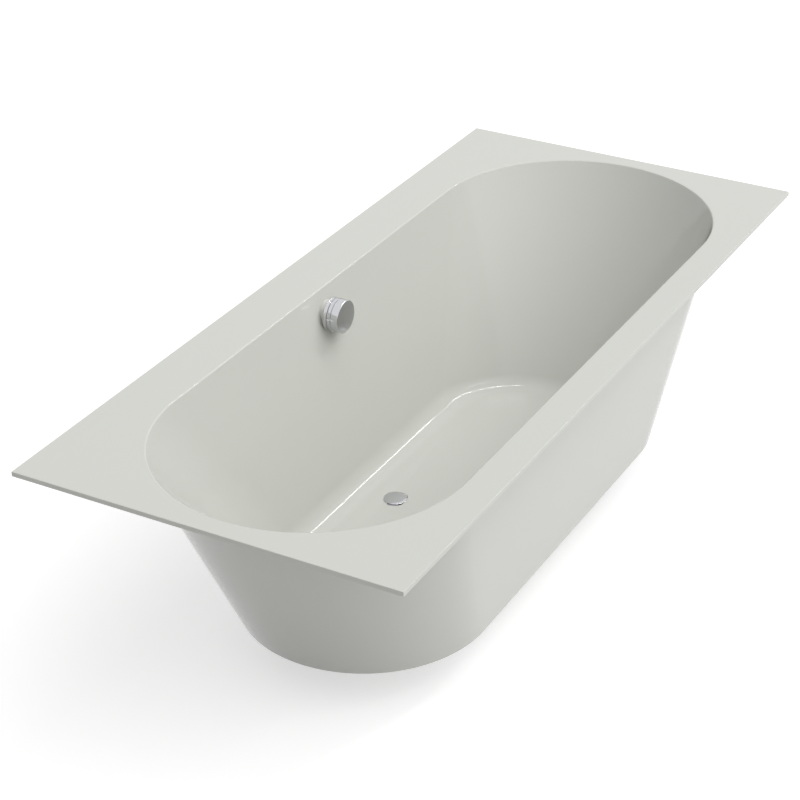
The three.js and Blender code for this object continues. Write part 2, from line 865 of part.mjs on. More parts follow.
function plugCap() {
  const edgeTop = capLow + plugEdgeHeight;
  const profile = [
    [0, carrierLow],
    [plugSealRadius - slipGap, carrierLow],
    [plugSealRadius - slipGap, carrierLow + plugCollarHeight],
    [plugCarrierRadius, carrierLow + plugCollarHeight],
    [plugCarrierRadius, capLow],
    [plugRadius, capLow],
    [plugRadius, edgeTop],
  ];
  const domeSteps = 4;
  for (let i = 1; i <= domeSteps; i++) {
    const share = i / domeSteps;
    const radius = plugRadius * Math.cos((share * Math.PI) / 2);
    profile.push([i === domeSteps ? 0 : radius, edgeTop + plugCrown * Math.sin((share * Math.PI) / 2)]);
  }
  return upright(profile, fineSegments);
}
add("plug_cap", plugCap(), chrome, waste);

const sealLow = carrierLow + plugCollarHeight + slipGap;
const sealTop = capLow - slipGap;
const sealMiddle = (sealLow + sealTop) / 2;
const sealProfile = [
  [plugCarrierRadius + slipGap, sealLow],
  [plugSealRadius - slipGap, sealLow],
  [plugSealRadius, sealMiddle],
  [plugSealRadius - slipGap, sealTop],
  [plugCarrierRadius + slipGap, sealTop],
];
add("plug_seal", upright(sealProfile), blackRubber, waste);
add("plug_stem", upright(disc(plugStemRadius, stemLow, carrierLow), smallSegments), zincSteel, waste);

// Lift lever: a hub on a pin across the waste body, its arm under the plug's stem.
const lever = new THREE.Group();
lever.rotation.z = leverTurn;
waste.add(lever);

function liftLever() {
  const hub = turned(disc(leverHubRadius, -leverWidth / 2, leverWidth / 2), smallSegments);
  const arm = block(leverArm, leverWidth, leverArmHeight, leverArm / 2);
  const tip = turned(disc(leverTipRadius, -leverWidth / 2, leverWidth / 2), smallSegments);
  const bore = turned(disc(leverPinRadius + slipGap, -leverWidth, leverWidth), smallSegments);
  const tail = block(leverArmHeight, leverWidth, leverTail, 0, 0, -leverTail / 2);
  const eye = turned(disc(leverTailRadius, -leverWidth / 2, leverWidth / 2), smallSegments);
  const arms = [arm, tip.translate(leverArm, 0, 0), tail, eye.translate(0, 0, -leverTail)];
  return join(solidOf(hub), ...arms.map(solidOf)).subtract(solidOf(bore));
}
const leverMesh = add("lift_lever", liftLever(), zincSteel, lever);
leverMesh.position.set(-leverPivotReach, 0, leverPivotZ);
leverMesh.rotation.y = leverSwing;

const pinHalf = Math.sqrt(wasteBodyRadius ** 2 - leverPivotReach ** 2);
const pinShape = turned(disc(leverPinRadius, -pinHalf, pinHalf), smallSegments);
add("lever_pin", pinShape, zincSteel, lever).position.set(-leverPivotReach, 0, leverPivotZ);

// Pull wire: the cable's lower end, from the gland to the lever's tail.
const pullWireStart =
  leverTailRadius + slipGap - leverPivotReach - leverTail * Math.sin(leverSwing);
const pullWireEnd = wasteBodyRadius + glandLength - wireTravel - pullWireStop;
const pullWire = alongX(wireRadius, 0, pullWireStart, pullWireEnd, 0, glandHeight, cableSides);
add("pull_wire", pullWire, zincSteel, lever);

// Trap: a low drum beside the waste, its cleaning lid, and the outlet bend.
function trapBody() {
  const inner = trapRadius - trapWall;
  const drum = solidOf(
    upright([
      [inner, trapBase],
      [trapRadius, trapBase],
      [trapRadius, trapTop],
      [0, trapTop],
      [0, trapTop - trapWall],
      [inner, trapTop - trapWall],
    ]).translate(trapReach, 0, 0),
  );
  const baffleHeight = trapTop - trapWall / 2 - trapBaffleLow;
  const baffleZ = trapBaffleLow + baffleHeight / 2;
  const baffle = block(trapWall, 2 * inner + trapWall, baffleHeight, trapReach, 0, baffleZ);
  const inletEnd = outletReach + sealThickness;
  const wallStart = trapReach - inner;
  const inlet = alongX(outletRadius, 0, inletEnd, wallStart, 0, outletHeight);
  const inletBore = alongX(
    outletRadius - pipeWall,
    0,
    inletEnd - cutOverrun,
    wallStart + cutOverrun,
    0,
    outletHeight,
  );
  const outEnd = trapReach + trapRadius + trapOutletLength;
  const outStart = trapReach + Math.sqrt(inner ** 2 - trapOutletRadius ** 2);
  const outlet = alongX(trapOutletRadius, 0, outStart, outEnd, 0, trapOutletHeight);
  const outletBore = alongX(
    trapOutletRadius - pipeWall,
    0,
    outStart - cutOverrun,
    outEnd + cutOverrun,
    0,
    trapOutletHeight,
  );
  return join(drum, solidOf(baffle), solidOf(inlet), solidOf(outlet))
    .subtract(solidOf(inletBore))
    .subtract(solidOf(outletBore));
}
add("trap_body", trapBody(), whitePlastic, waste);

const lidLow = trapBase - trapLidHeight / 2;
const lidTop = lidLow + trapLidHeight;
const lidFloor = trapBase - sealThickness;
const lidProfile = [
  [0, lidLow],
  [trapLidRadius, lidLow],
  [trapLidRadius, lidTop],
  [trapRadius + slipGap, lidTop],
  [trapRadius + slipGap, lidFloor],
  [0, lidFloor],
];
add("trap_lid", upright(lidProfile).translate(trapReach, 0, 0), greyPlastic, waste);

function nutAlongX(outer, inner, length, middle, height) {
  return alongX(outer, inner + nutGap, middle - length / 2, middle + length / 2, 0, height);
}
const unionNut = nutAlongX(unionNutRadius, outletRadius, unionNutLength, outletReach, outletHeight);
add("union_nut", unionNut, whitePlastic, waste);

const trapEnd = trapReach + trapRadius + trapOutletLength;
const bendStart = trapEnd + sealThickness;
const outletNut = nutAlongX(
  outletNutRadius,
  trapOutletRadius,
  outletNutLength,
  bendStart,
  trapOutletHeight,
);
add("outlet_nut", outletNut, whitePlastic, waste);

// Seals: a flat ring under the lid and one in each screwed pipe joint.
const lidSeal = ring(
  trapRadius,
  trapRadius - trapWall,
  lidFloor + slipGap,
  trapBase - slipGap,
);
add("trap_lid_seal", upright(lidSeal).translate(trapReach, 0, 0), blackRubber, waste);
function pipeSeal(radius, start, height) {
  const end = start + sealThickness - slipGap;
  return alongX(radius, radius - pipeWall, start + slipGap, end, 0, height);
}
add("union_seal", pipeSeal(outletRadius, outletReach, outletHeight), blackRubber, waste);
add("outlet_seal", pipeSeal(trapOutletRadius, trapEnd, trapOutletHeight), blackRubber, waste);

// Outlet bend: a straight socket, a quarter-turn share and a straight spigot.
class BendCurve extends THREE.Curve {
  getPoint(t) {
    const arc = elbowBendRadius * elbowTurn;
    const total = 2 * elbowStraight + arc;
    const at = t * total;
    const turn = Math.min(Math.max((at - elbowStraight) / elbowBendRadius, 0), elbowTurn);
    const first = Math.min(at, elbowStraight);
    const last = Math.max(at - elbowStraight - arc, 0);
    const x = first + elbowBendRadius * Math.sin(turn) + last * Math.cos(turn);
    const y = -elbowBendRadius * (1 - Math.cos(turn)) - last * Math.sin(turn);
    return new THREE.Vector3(x, y, 0);
  }
}

function outletBend() {
  const tube = (radius) => {
    const circle = new THREE.Shape().absarc(0, 0, radius, 0, 2 * Math.PI);
    const options = { steps: 8, curveSegments: 12, bevelEnabled: false };
    return solidOf(
      new THREE.ExtrudeGeometry(circle, { ...options, extrudePath: new BendCurve() }),
    );
  };
  return tube(trapOutletRadius).subtract(tube(trapOutletRadius - pipeWall));
}
add("outlet_bend", outletBend(), whitePlastic, waste).position.set(bendStart, 0, trapOutletHeight);

// Overflow: everything turned about the knob's level line along Y.
const overflow = new THREE.Group();
overflow.position.set(overflowX, 0, overflowZ);
bath.add(overflow);

const flangeBack = rosetteBack;
const flangeFront = flangeBack - overflowFlangeThickness;
const rosettePlateBack = rosetteFront + rosetteWall;

function overflowFlange() {
  const neckEnd = overflowElbowFace + overflowElbowFlangeThickness / 2;
  const neckInner = overflowNeckRadius - overflowNeckWall;
  const shell = turned([
    [neckInner, flangeFront],
    [overflowFlangeRadius, flangeFront],
    [overflowFlangeRadius, flangeBack],
    [overflowNeckRadius, flangeBack],
    [overflowNeckRadius, neckEnd],
    [neckInner, neckEnd],
  ]);
  const hub = turned(disc(overflowHubRadius, rosettePlateBack + slipGap, flangeBack));
  const span = 2 * neckInner + overflowNeckWall;
  const middle = (flangeFront + flangeBack) / 2;
  const spokes = [0, Math.PI / 2].map((angle) =>
    solidOf(block(span, overflowFlangeThickness, overflowSpokeWidth, 0, middle, 0).rotateY(angle)),
  );
  const bore = turned(
    disc(driveShaftRadius + slipGap, rosetteFront, flangeBack + cutOverrun),
    smallSegments,
  );
  const holes = [-1, 1].map((side) =>
    solidOf(
      turned(disc(flangeScrewRadius + slipGap, rosetteFront, flangeBack + cutOverrun), smallSegments)
        .translate(side * flangeScrewReach, 0, 0),
    ),
  );
  return cut(join(solidOf(shell), solidOf(hub), ...spokes), solidOf(bore), ...holes);
}
add("overflow_flange", overflowFlange(), zincSteel, overflow);

// The wedge-shaped rubber rings take up the slope of the basin wall and of the skin.
function wedgeRing(outer, from, to) {
  const shape = turned(ring(outer, overflowHoleRadius + slipGap, from, to));
  return solidOf(shape.translate(overflowX, 0, overflowZ));
}

function innerGasket() {
  const blank = wedgeRing(overflowFlangeRadius, flangeBack + slipGap, overflowElbowFace);
  const inside = bowl(0);
  const skinSide = overflowBore(overflowElbowRadius * 2, flangeBack, elbowRear);
  const behindWall = skinSide.subtract(inside);
  const moved = geometryOf(behindWall).translate(0, -slipGap, 0);
  return blank.subtract(solidOf(moved));
}
add("inner_gasket", innerGasket(), whiteRubber);

function wallSpacer() {
  const blank = wedgeRing(outerGasketRadius, flangeBack, overflowElbowFace);
  const low = overflowZ - 2 * outerGasketRadius;
  const cavity = skinSpace(skinThickness + slipGap, low, rimUnderside);
  return blank.intersect(cavity).subtract(bowl(sheetThickness + slipGap));
}
add("wall_spacer", wallSpacer(), blackRubber);

function outerGasket() {
  const blank = wedgeRing(outerGasketRadius, flangeBack, overflowElbowFace - slipGap);
  const low = overflowZ - 2 * outerGasketRadius;
  return blank.subtract(skinSpace(-slipGap, low, rimUnderside));
}
add("outer_gasket", outerGasket(), blackRubber);

// Overflow elbow: a round housing for the cable wheel, with a spigot for the hose.
function overflowElbow() {
  const inner = overflowElbowRadius - overflowElbowWall;
  const mouth = overflowNeckRadius + slipGap;
  const face = overflowElbowFace;
  const housing = turned([
    [mouth, face],
    [overflowElbowFlangeRadius, face],
    [overflowElbowFlangeRadius, face + overflowElbowFlangeThickness],
    [overflowElbowRadius, face + overflowElbowFlangeThickness],
    [overflowElbowRadius, elbowRear],
    [0, elbowRear],
    [0, elbowRear - overflowElbowWall],
    [inner, elbowRear - overflowElbowWall],
    [inner, face + overflowElbowFlangeThickness],
    [mouth, face + overflowElbowFlangeThickness],
  ]);
  const spigotLow = -overflowElbowRadius - hosePortLength;
  const spigot = upright(disc(hosePortRadius, spigotLow, -spigotStart)).translate(0, hoseLineY, 0);
  const spigotBore = upright(disc(hoseBore, spigotLow, -spigotStart / 2)).translate(0, hoseLineY, 0);
  const hollow = turned(
    disc(inner, face + overflowElbowFlangeThickness, elbowRear - overflowElbowWall),
  );
  const bossFront = elbowRear - overflowElbowWall - rearBossLength;
  const boss = turned(disc(rearBossRadius, bossFront, elbowRear - overflowElbowWall / 2));
  const bossBore = turned(
    disc(driveShaftRadius + slipGap, bossFront - cutOverrun, elbowRear - overflowElbowWall),
    smallSegments,
  );
  const lugs = [-1, 1].flatMap((side) => {
    const start = face + lugStart;
    const lug = turned(disc(lugRadius, start, start + lugLength), smallSegments);
    const ribLength = inner - flangeScrewReach + overflowElbowWall / 2;
    const ribX = side * (flangeScrewReach + ribLength / 2);
    const rib = block(ribLength, lugLength, lugRadius, ribX, start + lugLength / 2, 0);
    return [solidOf(lug.translate(side * flangeScrewReach, 0, 0)), solidOf(rib)];
  });
  const lugHoles = [-1, 1].map((side) =>
    solidOf(
      turned(disc(flangeScrewRadius + slipGap, face, face + lugStart + 2 * lugLength), smallSegments)
        .translate(side * flangeScrewReach, 0, 0),
    ),
  );
  const cableY = face + cableWheelStart + cableWheelWidth / 2;
  const glandFrom = -Math.sqrt(inner ** 2 - wireReach ** 2);
  const glandTo = -overflowElbowRadius - glandLength;
  const gland = alongX(glandRadius, 0, glandTo, glandFrom, cableY, -wireReach, smallSegments);
  const wireHole = alongX(
    wireRadius + slipGap,
    0,
    glandTo,
    glandFrom + cutOverrun,
    cableY,
    -wireReach,
    smallSegments,
  );
  const shell = solidOf(housing).add(solidOf(spigot)).subtract(solidOf(hollow));
  const whole = join(shell, solidOf(boss), solidOf(gland), ...lugs);
  return cut(whole, solidOf(spigotBore), solidOf(bossBore), solidOf(wireHole), ...lugHoles);
}
add("overflow_elbow", overflowElbow(), whitePlastic, overflow);

for (const [side, name] of [[-1, "left"], [1, "right"]]) {
  const seat = flangeFront - slipGap;
  const end = overflowElbowFace + lugStart + lugLength;
  const screw = turned(
    [
      [0, seat - flangeScrewHeadHeight],
      [flangeScrewHeadRadius, seat - flangeScrewHeadHeight],
      [flangeScrewHeadRadius, seat],
      [flangeScrewRadius, seat],
      [flangeScrewRadius, end],
      [0, end],
    ],
    smallSegments,
  ).translate(side * flangeScrewReach, 0, 0);
  add("flange_screw_" + name, screw, zincSteel, overflow);
}

// Rosette: the fixed chrome cup behind the knob. Water enters behind its rim.
function rosette() {
  const shaftHole = driveShaftRadius + holeGap;
  const bead = rosetteWall / 2;
  return turned(
    [
      [shaftHole, rosetteFront],
      [rosetteRadius - bead, rosetteFront],
      [rosetteRadius - bead, rosetteBack - 2 * bead],
      [rosetteRadius, rosetteBack - bead],
      [rosetteRadius, rosetteBack],
      [rosetteRadius - rosetteWall - bead, rosetteBack],
      [rosetteRadius - rosetteWall - bead, rosettePlateBack],
      [shaftHole, rosettePlateBack],
    ],
    fineSegments,
  );
}
add("overflow_rosette", rosette(), chrome, overflow);

// Knob: a deep cap with a groove round its side and two grip slots.
function knob() {
  const innerFace = knobFront + knobFaceThickness;
  const groove = knobBack + rosetteDepth + knobGap - knobGrooveReach;
  const halfGroove = knobGrooveWidth / 2;
  const inner = rosetteRadius - knobGrooveDepth - knobWall;
  const shell = turned(
    [
      [0, knobFront],
      [rosetteRadius / 2, knobFront + knobCrown / 4],
      [rosetteRadius - knobEdgeChamfer, knobFront + knobCrown],
      [rosetteRadius, knobFront + knobCrown + knobEdgeChamfer],
      [rosetteRadius, groove - halfGroove],
      [rosetteRadius - knobGrooveDepth, groove],
      [rosetteRadius, groove + halfGroove],
      [rosetteRadius, knobBack],
      [inner, knobBack],
      [inner, innerFace],
      [knobHubRadius, innerFace],
      [knobHubRadius, knobBack - knobWall],
      [driveShaftRadius + slipGap, knobBack - knobWall],
      [driveShaftRadius + slipGap, innerFace],
      [0, innerFace],
    ],
    fineSegments,
  );
  const gripMiddle = knobBack + rosetteDepth + knobGap - knobGripReach - knobGripLength / 2;
  const grips = [-1, 1].map((side) => {
    const x = side * (rosetteRadius + cutOverrun / 2 - knobGripDepth);
    const tool = block(cutOverrun, knobGripLength, knobGripWidth, x, gripMiddle, 0);
    return solidOf(tool.rotateY(knobGripTilt));
  });
  return cut(solidOf(shell), ...grips);
}
add("knob", knob(), chrome, overflow);

const shaftFront = knobFront + knobFaceThickness + slipGap;
const shaftRear = elbowRear - overflowElbowWall - slipGap;
const shaftShape = turned(disc(driveShaftRadius, shaftFront, shaftRear), smallSegments);
add("drive_shaft", shaftShape, zincSteel, overflow);

const wheelFront = overflowElbowFace + cableWheelStart;
const wheelMiddle = wheelFront + cableWheelWidth / 2;
const wheelBore = driveShaftRadius + slipGap;
const wheelGrooveRadius = wireReach - wireRadius - slipGap;
const wheelProfile = [
  [wheelBore, wheelFront],
  [cableWheelRadius, wheelFront],
  [wheelGrooveRadius, wheelFront + cableWheelRimWidth],
  [wheelGrooveRadius, wheelFront + cableWheelWidth - cableWheelRimWidth],
  [cableWheelRadius, wheelFront + cableWheelWidth],
  [wheelBore, wheelFront + cableWheelWidth],
];
add("cable_wheel", turned(wheelProfile), greyPlastic, overflow);

// Overflow hose: from the elbow's spigot down behind the skin, then under its foot.
const hoseTop = overflowZ - overflowElbowRadius - hosePortLength - slipGap;
const hoseEnd = drainY + wasteBodyRadius + hosePortLength + slipGap;
const skinFootY = basinY + skinFootHalfWidth;
const hoseRoute = new THREE.CatmullRomCurve3(
  [
    [overflowX, hoseLineY, hoseTop],
    [overflowX, hoseLineY, hoseTop - 2 * hosePortRadius],
    [overflowX, hoseLineY, hoseTop - 4 * hosePortRadius],
    [(3 * overflowX + drainX) / 4, hoseLineY, hoseTop - 8 * hosePortRadius],
    [(overflowX + 3 * drainX) / 4, hoseLineY - hosePortRadius / 8, groundClearance + 2 * hosePortRadius],
    [drainX, (3 * hoseLineY + skinFootY) / 4, portHeight + 2 * hosePortRadius],
    [drainX, (hoseLineY + skinFootY) / 2, portHeight + hosePortRadius / 2],
    [drainX, skinFootY, portHeight],
    [drainX, hoseEnd + 2 * hosePortRadius, portHeight],
    [drainX, hoseEnd, portHeight],
  ].map(([x, y, z]) => new THREE.Vector3(x, y, z)),
  false,
  "centripetal",
);
add("overflow_hose", ribbedHose(hoseRoute), whitePlastic);

const hoseNutRing = (middle) =>
  ring(
    hoseNutRadius,
    hosePortRadius + nutGap,
    middle - hoseNutLength / 2,
    middle + hoseNutLength / 2,
  );
const upperNut = upright(hoseNutRing(hoseTop)).translate(overflowX, hoseLineY, 0);
add("hose_nut_upper", upperNut, whitePlastic);
const lowerNut = turned(hoseNutRing(hoseEnd)).translate(drainX, 0, portHeight);
add("hose_nut_lower", lowerNut, whitePlastic);

// Control cable: a sleeve from the elbow's gland down beside the hose to the waste's
// gland, with the wire's upper end, which runs on to the wheel.
const glandReach = overflowElbowRadius + glandLength + slipGap;
const cableTopX = overflowX - glandReach;
const cableTopZ = overflowZ - wireReach;
const cableDropX = cableTopX - cableBend;
const glandOut = wasteBodyRadius + glandLength + slipGap;
const besideWaste = (reach) => [
  drainX + Math.cos(leverTurn) * (glandOut + reach),
  drainY + Math.sin(leverTurn) * (glandOut + reach),
  glandHeight,
];
const cableRoute = new THREE.CatmullRomCurve3(
  [
    [cableTopX, wheelMiddle, cableTopZ],
    [cableTopX - 2 * cableRadius, wheelMiddle, cableTopZ],
    [cableTopX - 0.65 * cableBend, wheelMiddle, cableTopZ - 0.25 * cableBend],
    [cableDropX, wheelMiddle, cableTopZ - cableBend],
    [cableDropX, wheelMiddle, cableTopZ - 3 * cableBend],
    [cableDropX, wheelMiddle, groundClearance + 3 * cableBend],
    [cableDropX, wheelMiddle, groundClearance + cableBend],
    [cableDropX, wheelMiddle - 0.2 * cableBend, groundClearance],
    [cableDropX - 0.1 * cableBend, skinFootY + 0.7 * cableBend, glandHeight + 0.4 * cableBend],
    [cableDropX - 0.2 * cableBend, skinFootY - 0.2 * cableBend, glandHeight + 0.1 * cableBend],
    besideWaste(cableBend),
    besideWaste(2 * cableRadius),
    besideWaste(0),
  ].map(([x, y, z]) => new THREE.Vector3(x, y, z)),
  false,
  "centripetal",
);

function controlCable() {
  const section = new THREE.Shape().absarc(0, 0, cableRadius, 0, 2 * Math.PI);
  const sleeve = new THREE.ExtrudeGeometry(section, {
    steps: cableSteps,
    curveSegments: cableSides / 2,
    bevelEnabled: false,
    extrudePath: cableRoute,
  });
  const topWire = alongX(wireRadius, 0, -glandReach - cableRadius, 0, 0, 0, cableSides);
  topWire.translate(overflowX, wheelMiddle, cableTopZ);
  return join(solidOf(sleeve), solidOf(topWire));
}
add("control_cable", controlCable(), blackRubber);

export default bath;
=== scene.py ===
from math import atan2, cos, pi, radians, sin, sqrt, tan

import bmesh
import bpy
from mathutils import Matrix, Vector


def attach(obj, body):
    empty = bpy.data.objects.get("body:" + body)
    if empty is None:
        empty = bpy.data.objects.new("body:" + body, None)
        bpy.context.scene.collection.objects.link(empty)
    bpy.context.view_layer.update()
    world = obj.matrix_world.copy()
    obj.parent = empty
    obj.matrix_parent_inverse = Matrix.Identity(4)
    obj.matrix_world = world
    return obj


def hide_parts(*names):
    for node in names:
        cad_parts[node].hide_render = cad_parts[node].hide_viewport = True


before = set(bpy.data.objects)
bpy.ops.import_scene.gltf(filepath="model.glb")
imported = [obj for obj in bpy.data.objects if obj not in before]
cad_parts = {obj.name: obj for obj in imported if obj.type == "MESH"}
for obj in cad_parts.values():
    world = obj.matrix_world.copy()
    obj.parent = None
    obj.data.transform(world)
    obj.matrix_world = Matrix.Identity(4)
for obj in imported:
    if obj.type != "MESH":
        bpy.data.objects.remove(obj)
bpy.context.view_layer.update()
scene = bpy.context.scene
MM = 0.001

# Camera at the photograph's place, in millimetres of the object's frame
camera_place = Vector((-3415.5, -1825.2, 2552.1))
camera_forward = Vector((0.76763, 0.40590, -0.49597)).normalized()
camera_right = Vector((0.46786, -0.88380, 0.00082)).normalized()
focal_pixels = 2151
image_pixels = 800
image_centre = (455.5, 402.4)

# Basin and skin
rim_length, rim_width, rim_thickness = 1800, 800, 10
rim_top, foot_level = 545, 95
rim_underside = rim_top - rim_thickness
basin_y = -22
opening = (859, 310)
opening_edge = 4
floor_oval = (518, 205)
basin_floor, drain_floor = 113, 110
floor_fillet = 55
sheet = 4
skin_top = (864.5, 315.5)
skin_foot = (637, 260)
skin_wall = 3
skin_lip = 36
end_steps = 96

# Drain, trap and overflow places
drain = Vector((-60, 94, 0))
trap = Vector((56, 94, 0))
overflow = Vector((-15, 0, 490))
overflow_hole = 23
elbow_line_y = 316
port_height, outlet_height, bend_height = 60, 52, 60
gland_height = 43.53
bend_x = 122
lever_turn = radians(130)

# Leg set
rail_x = 350
foot_y = (-142, 98)

TURN = {
    "Z": Matrix(),
    "Y": Matrix.Rotation(-pi / 2, 4, "X"),
    "X": Matrix.Rotation(pi / 2, 4, "Y"),
}


def at(place, axis="Z", turn=0.0):
    """The move that brings a shape drawn about Z to a place and an axis."""
    return Matrix.Translation(place) @ Matrix.Rotation(turn, 4, "Z") @ TURN[axis]


def up(height):
    return Vector((0, 0, height))


def evenly(start, end, steps):
    """Values from start to end in even steps, both ends among them."""
    return [start + (end - start) * i / steps for i in range(steps + 1)]


def new_object(name, data):
    made = bpy.data.objects.new(name, data)
    scene.collection.objects.link(made)
    return made


# Camera
lens = bpy.data.cameras.new("photo_camera")
lens.lens = focal_pixels * lens.sensor_width / image_pixels
lens.shift_x = (image_pixels / 2 - image_centre[0]) / image_pixels
lens.shift_y = (image_centre[1] - image_pixels / 2) / image_pixels
camera = new_object("photo_camera", lens)
camera_up = camera_right.cross(camera_forward)
camera_turn = Matrix((camera_right, camera_up, -camera_forward)).transposed()
camera.matrix_world = Matrix.Translation(camera_place * MM) @ camera_turn.to_4x4()
scene.camera = camera
scene.view_settings.view_transform = "Standard"


# Shader helpers
def fill(node, values):
    for key, value in dict(values).items():
        node.inputs[key].default_value = value


def put(tree, kind, values=(), **settings):
    """A new node with its settings and the values of its input sockets."""
    made = tree.nodes.new(kind)
    for key, value in settings.items():
        setattr(made, key, value)
    fill(made, values)
    return made


def maths(tree, operation, values=(), kind="ShaderNodeMath"):
    return put(tree, kind, values, operation=operation)


def wire(tree, *links):
    """Joins each start, a socket or a node's first output, to an input of a node."""
    for start, node, key in links:
        source = start.outputs[0] if isinstance(start, bpy.types.Node) else start
        tree.links.new(source, node.inputs[key])


def object_noise(tree, scale, detail=4.0):
    """Noise in object space. The scale is a number or a socket."""
    place = put(tree, "ShaderNodeTexCoord").outputs["Object"]
    noise = put(tree, "ShaderNodeTexNoise", {"Detail": detail, "Roughness": 0.55})
    wire(tree, (place, noise, "Vector"))
    if isinstance(scale, float):
        fill(noise, {"Scale": scale})
    else:
        wire(tree, (scale, noise, "Scale"))
    return noise.outputs["Fac"]


# Shader groups shared by the finishes
def new_group(name, inputs, label, kind):
    """A new group with its inputs by name and one output."""
    tree = bpy.data.node_groups.new(name, "ShaderNodeTree")
    for key, value in inputs.items():
        drawn = "NodeSocketFloat" if isinstance(value, float) else "NodeSocketColor"
        socket = tree.interface.new_socket(key, in_out="INPUT", socket_type=drawn)
        socket.default_value = value
    tree.interface.new_socket(label, in_out="OUTPUT", socket_type=kind)
    given = tree.nodes.new("NodeGroupInput")
    return tree, given.outputs, tree.nodes.new("NodeGroupOutput")


GREY = (0.5, 0.5, 0.5, 1)
DUST_COLOUR = (0.45, 0.43, 0.4, 1)
DUST_SCALE = 45.0


def tint_group():
    """Colour that drifts a little over the surface, lighter and darker."""
    inputs = {"Color": GREY, "Scale": 6.0, "Amount": 0.03}
    tree, given, result = new_group("surface_tint", inputs, "Color", "NodeSocketColor")
    noise = object_noise(tree, given["Scale"])
    centred = maths(tree, "SUBTRACT", {1: 0.5})
    swing = maths(tree, "MULTIPLY")
    lift = maths(tree, "MULTIPLY_ADD", {1: 1.0, 2: 1.0})
    shade = maths(tree, "SCALE", kind="ShaderNodeVectorMath")
    wire(
        tree, (noise, centred, 0), (centred, swing, 0), (given["Amount"], swing, 1),
        (swing, lift, 0), (given["Color"], shade, 0), (lift, shade, "Scale"), (shade, result, 0),
    )
    return tree


def polish_group():
    """Roughness that changes between polished and handled places."""
    inputs = {"Scale": 12.0, "Smooth": 0.1, "Dull": 0.2}
    tree, given, result = new_group("surface_polish", inputs, "Roughness", "NodeSocketFloat")
    noise = object_noise(tree, given["Scale"], 6.0)
    spread = put(tree, "ShaderNodeMapRange", {"From Min": 0.35, "From Max": 0.7})
    wire(
        tree, (noise, spread, "Value"), (given["Smooth"], spread, "To Min"),
        (given["Dull"], spread, "To Max"), (spread, result, 0),
    )
    return tree


def grain_group():
    """A fine relief, as a moulded, sprayed or rolled surface has."""
    inputs = {"Scale": 400.0, "Strength": 0.1, "Depth": 0.0002}
    tree, given, result = new_group("surface_grain", inputs, "Normal", "NodeSocketVector")
    noise = object_noise(tree, given["Scale"], 3.0)
    relief = put(tree, "ShaderNodeBump")
    wire(
        tree, (noise, relief, "Height"), (given["Strength"], relief, "Strength"),
        (given["Depth"], relief, "Distance"), (relief, result, 0),
    )
    return tree


def dust_group():
    """A thin film of dust that lies on faces turned up and thins out on walls."""
    inputs = {"Color": GREY, "Dust": DUST_COLOUR, "Amount": 0.1}
    tree, given, result = new_group("resting_dust", inputs, "Color", "NodeSocketColor")
    noise = object_noise(tree, DUST_SCALE, 6.0)
    facing = put(tree, "ShaderNodeNewGeometry").outputs["Normal"]
    parts = put(tree, "ShaderNodeSeparateXYZ")
    upward = put(tree, "ShaderNodeMapRange", {"From Min": 0.2, "From Max": 1.0})
    patch = put(tree, "ShaderNodeMapRange", {"From Min": 0.4, "From Max": 0.75})
    both = maths(tree, "MULTIPLY")
    share = maths(tree, "MULTIPLY")
    mix = put(tree, "ShaderNodeMix", data_type="RGBA")
    factor, clean, dusty, mixed = 0, 6, 7, mix.outputs[2]
    wire(
        tree, (facing, parts, 0), (parts.outputs["Z"], upward, "Value"), (noise, patch, "Value"),
        (upward, both, 0), (patch, both, 1), (both, share, 0), (given["Amount"], share, 1),
        (share, mix, factor), (given["Color"], mix, clean), (given["Dust"], mix, dusty),
        (mixed, result, 0),
    )
    return tree


TINT, POLISH, GRAIN, DUST = tint_group(), polish_group(), grain_group(), dust_group()


def new_material(name):
    material = bpy.data.materials.new(name)
    material.use_nodes = True
    return material, material.node_tree, material.node_tree.nodes["Principled BSDF"]


def finish(name, color, tint, polish, grain, dust=0.0, **principled):
    """One finish: a Principled shader fed by the shared groups.
    tint is (scale, amount), polish (scale, smooth, dull), grain (scale, strength, depth)."""
    material, tree, shader = new_material(name)
    fill(shader, {key.replace("_", " "): value for key, value in principled.items()})
    values = {"Color": (*color, 1), "Scale": tint[0], "Amount": tint[1]}
    colour = put(tree, "ShaderNodeGroup", values, node_tree=TINT)
    if dust:
        film = put(tree, "ShaderNodeGroup", {"Amount": dust}, node_tree=DUST)
        wire(tree, (colour, film, "Color"))
        colour = film
    sheen = put(tree, "ShaderNodeGroup", zip(("Scale", "Smooth", "Dull"), polish), node_tree=POLISH)
    relief = put(tree, "ShaderNodeGroup", zip(("Scale", "Strength", "Depth"), grain), node_tree=GRAIN)
    wire(
        tree, (colour, shader, "Base Color"), (sheen, shader, "Roughness"),
        (relief, shader, "Normal"),
    )
    return material


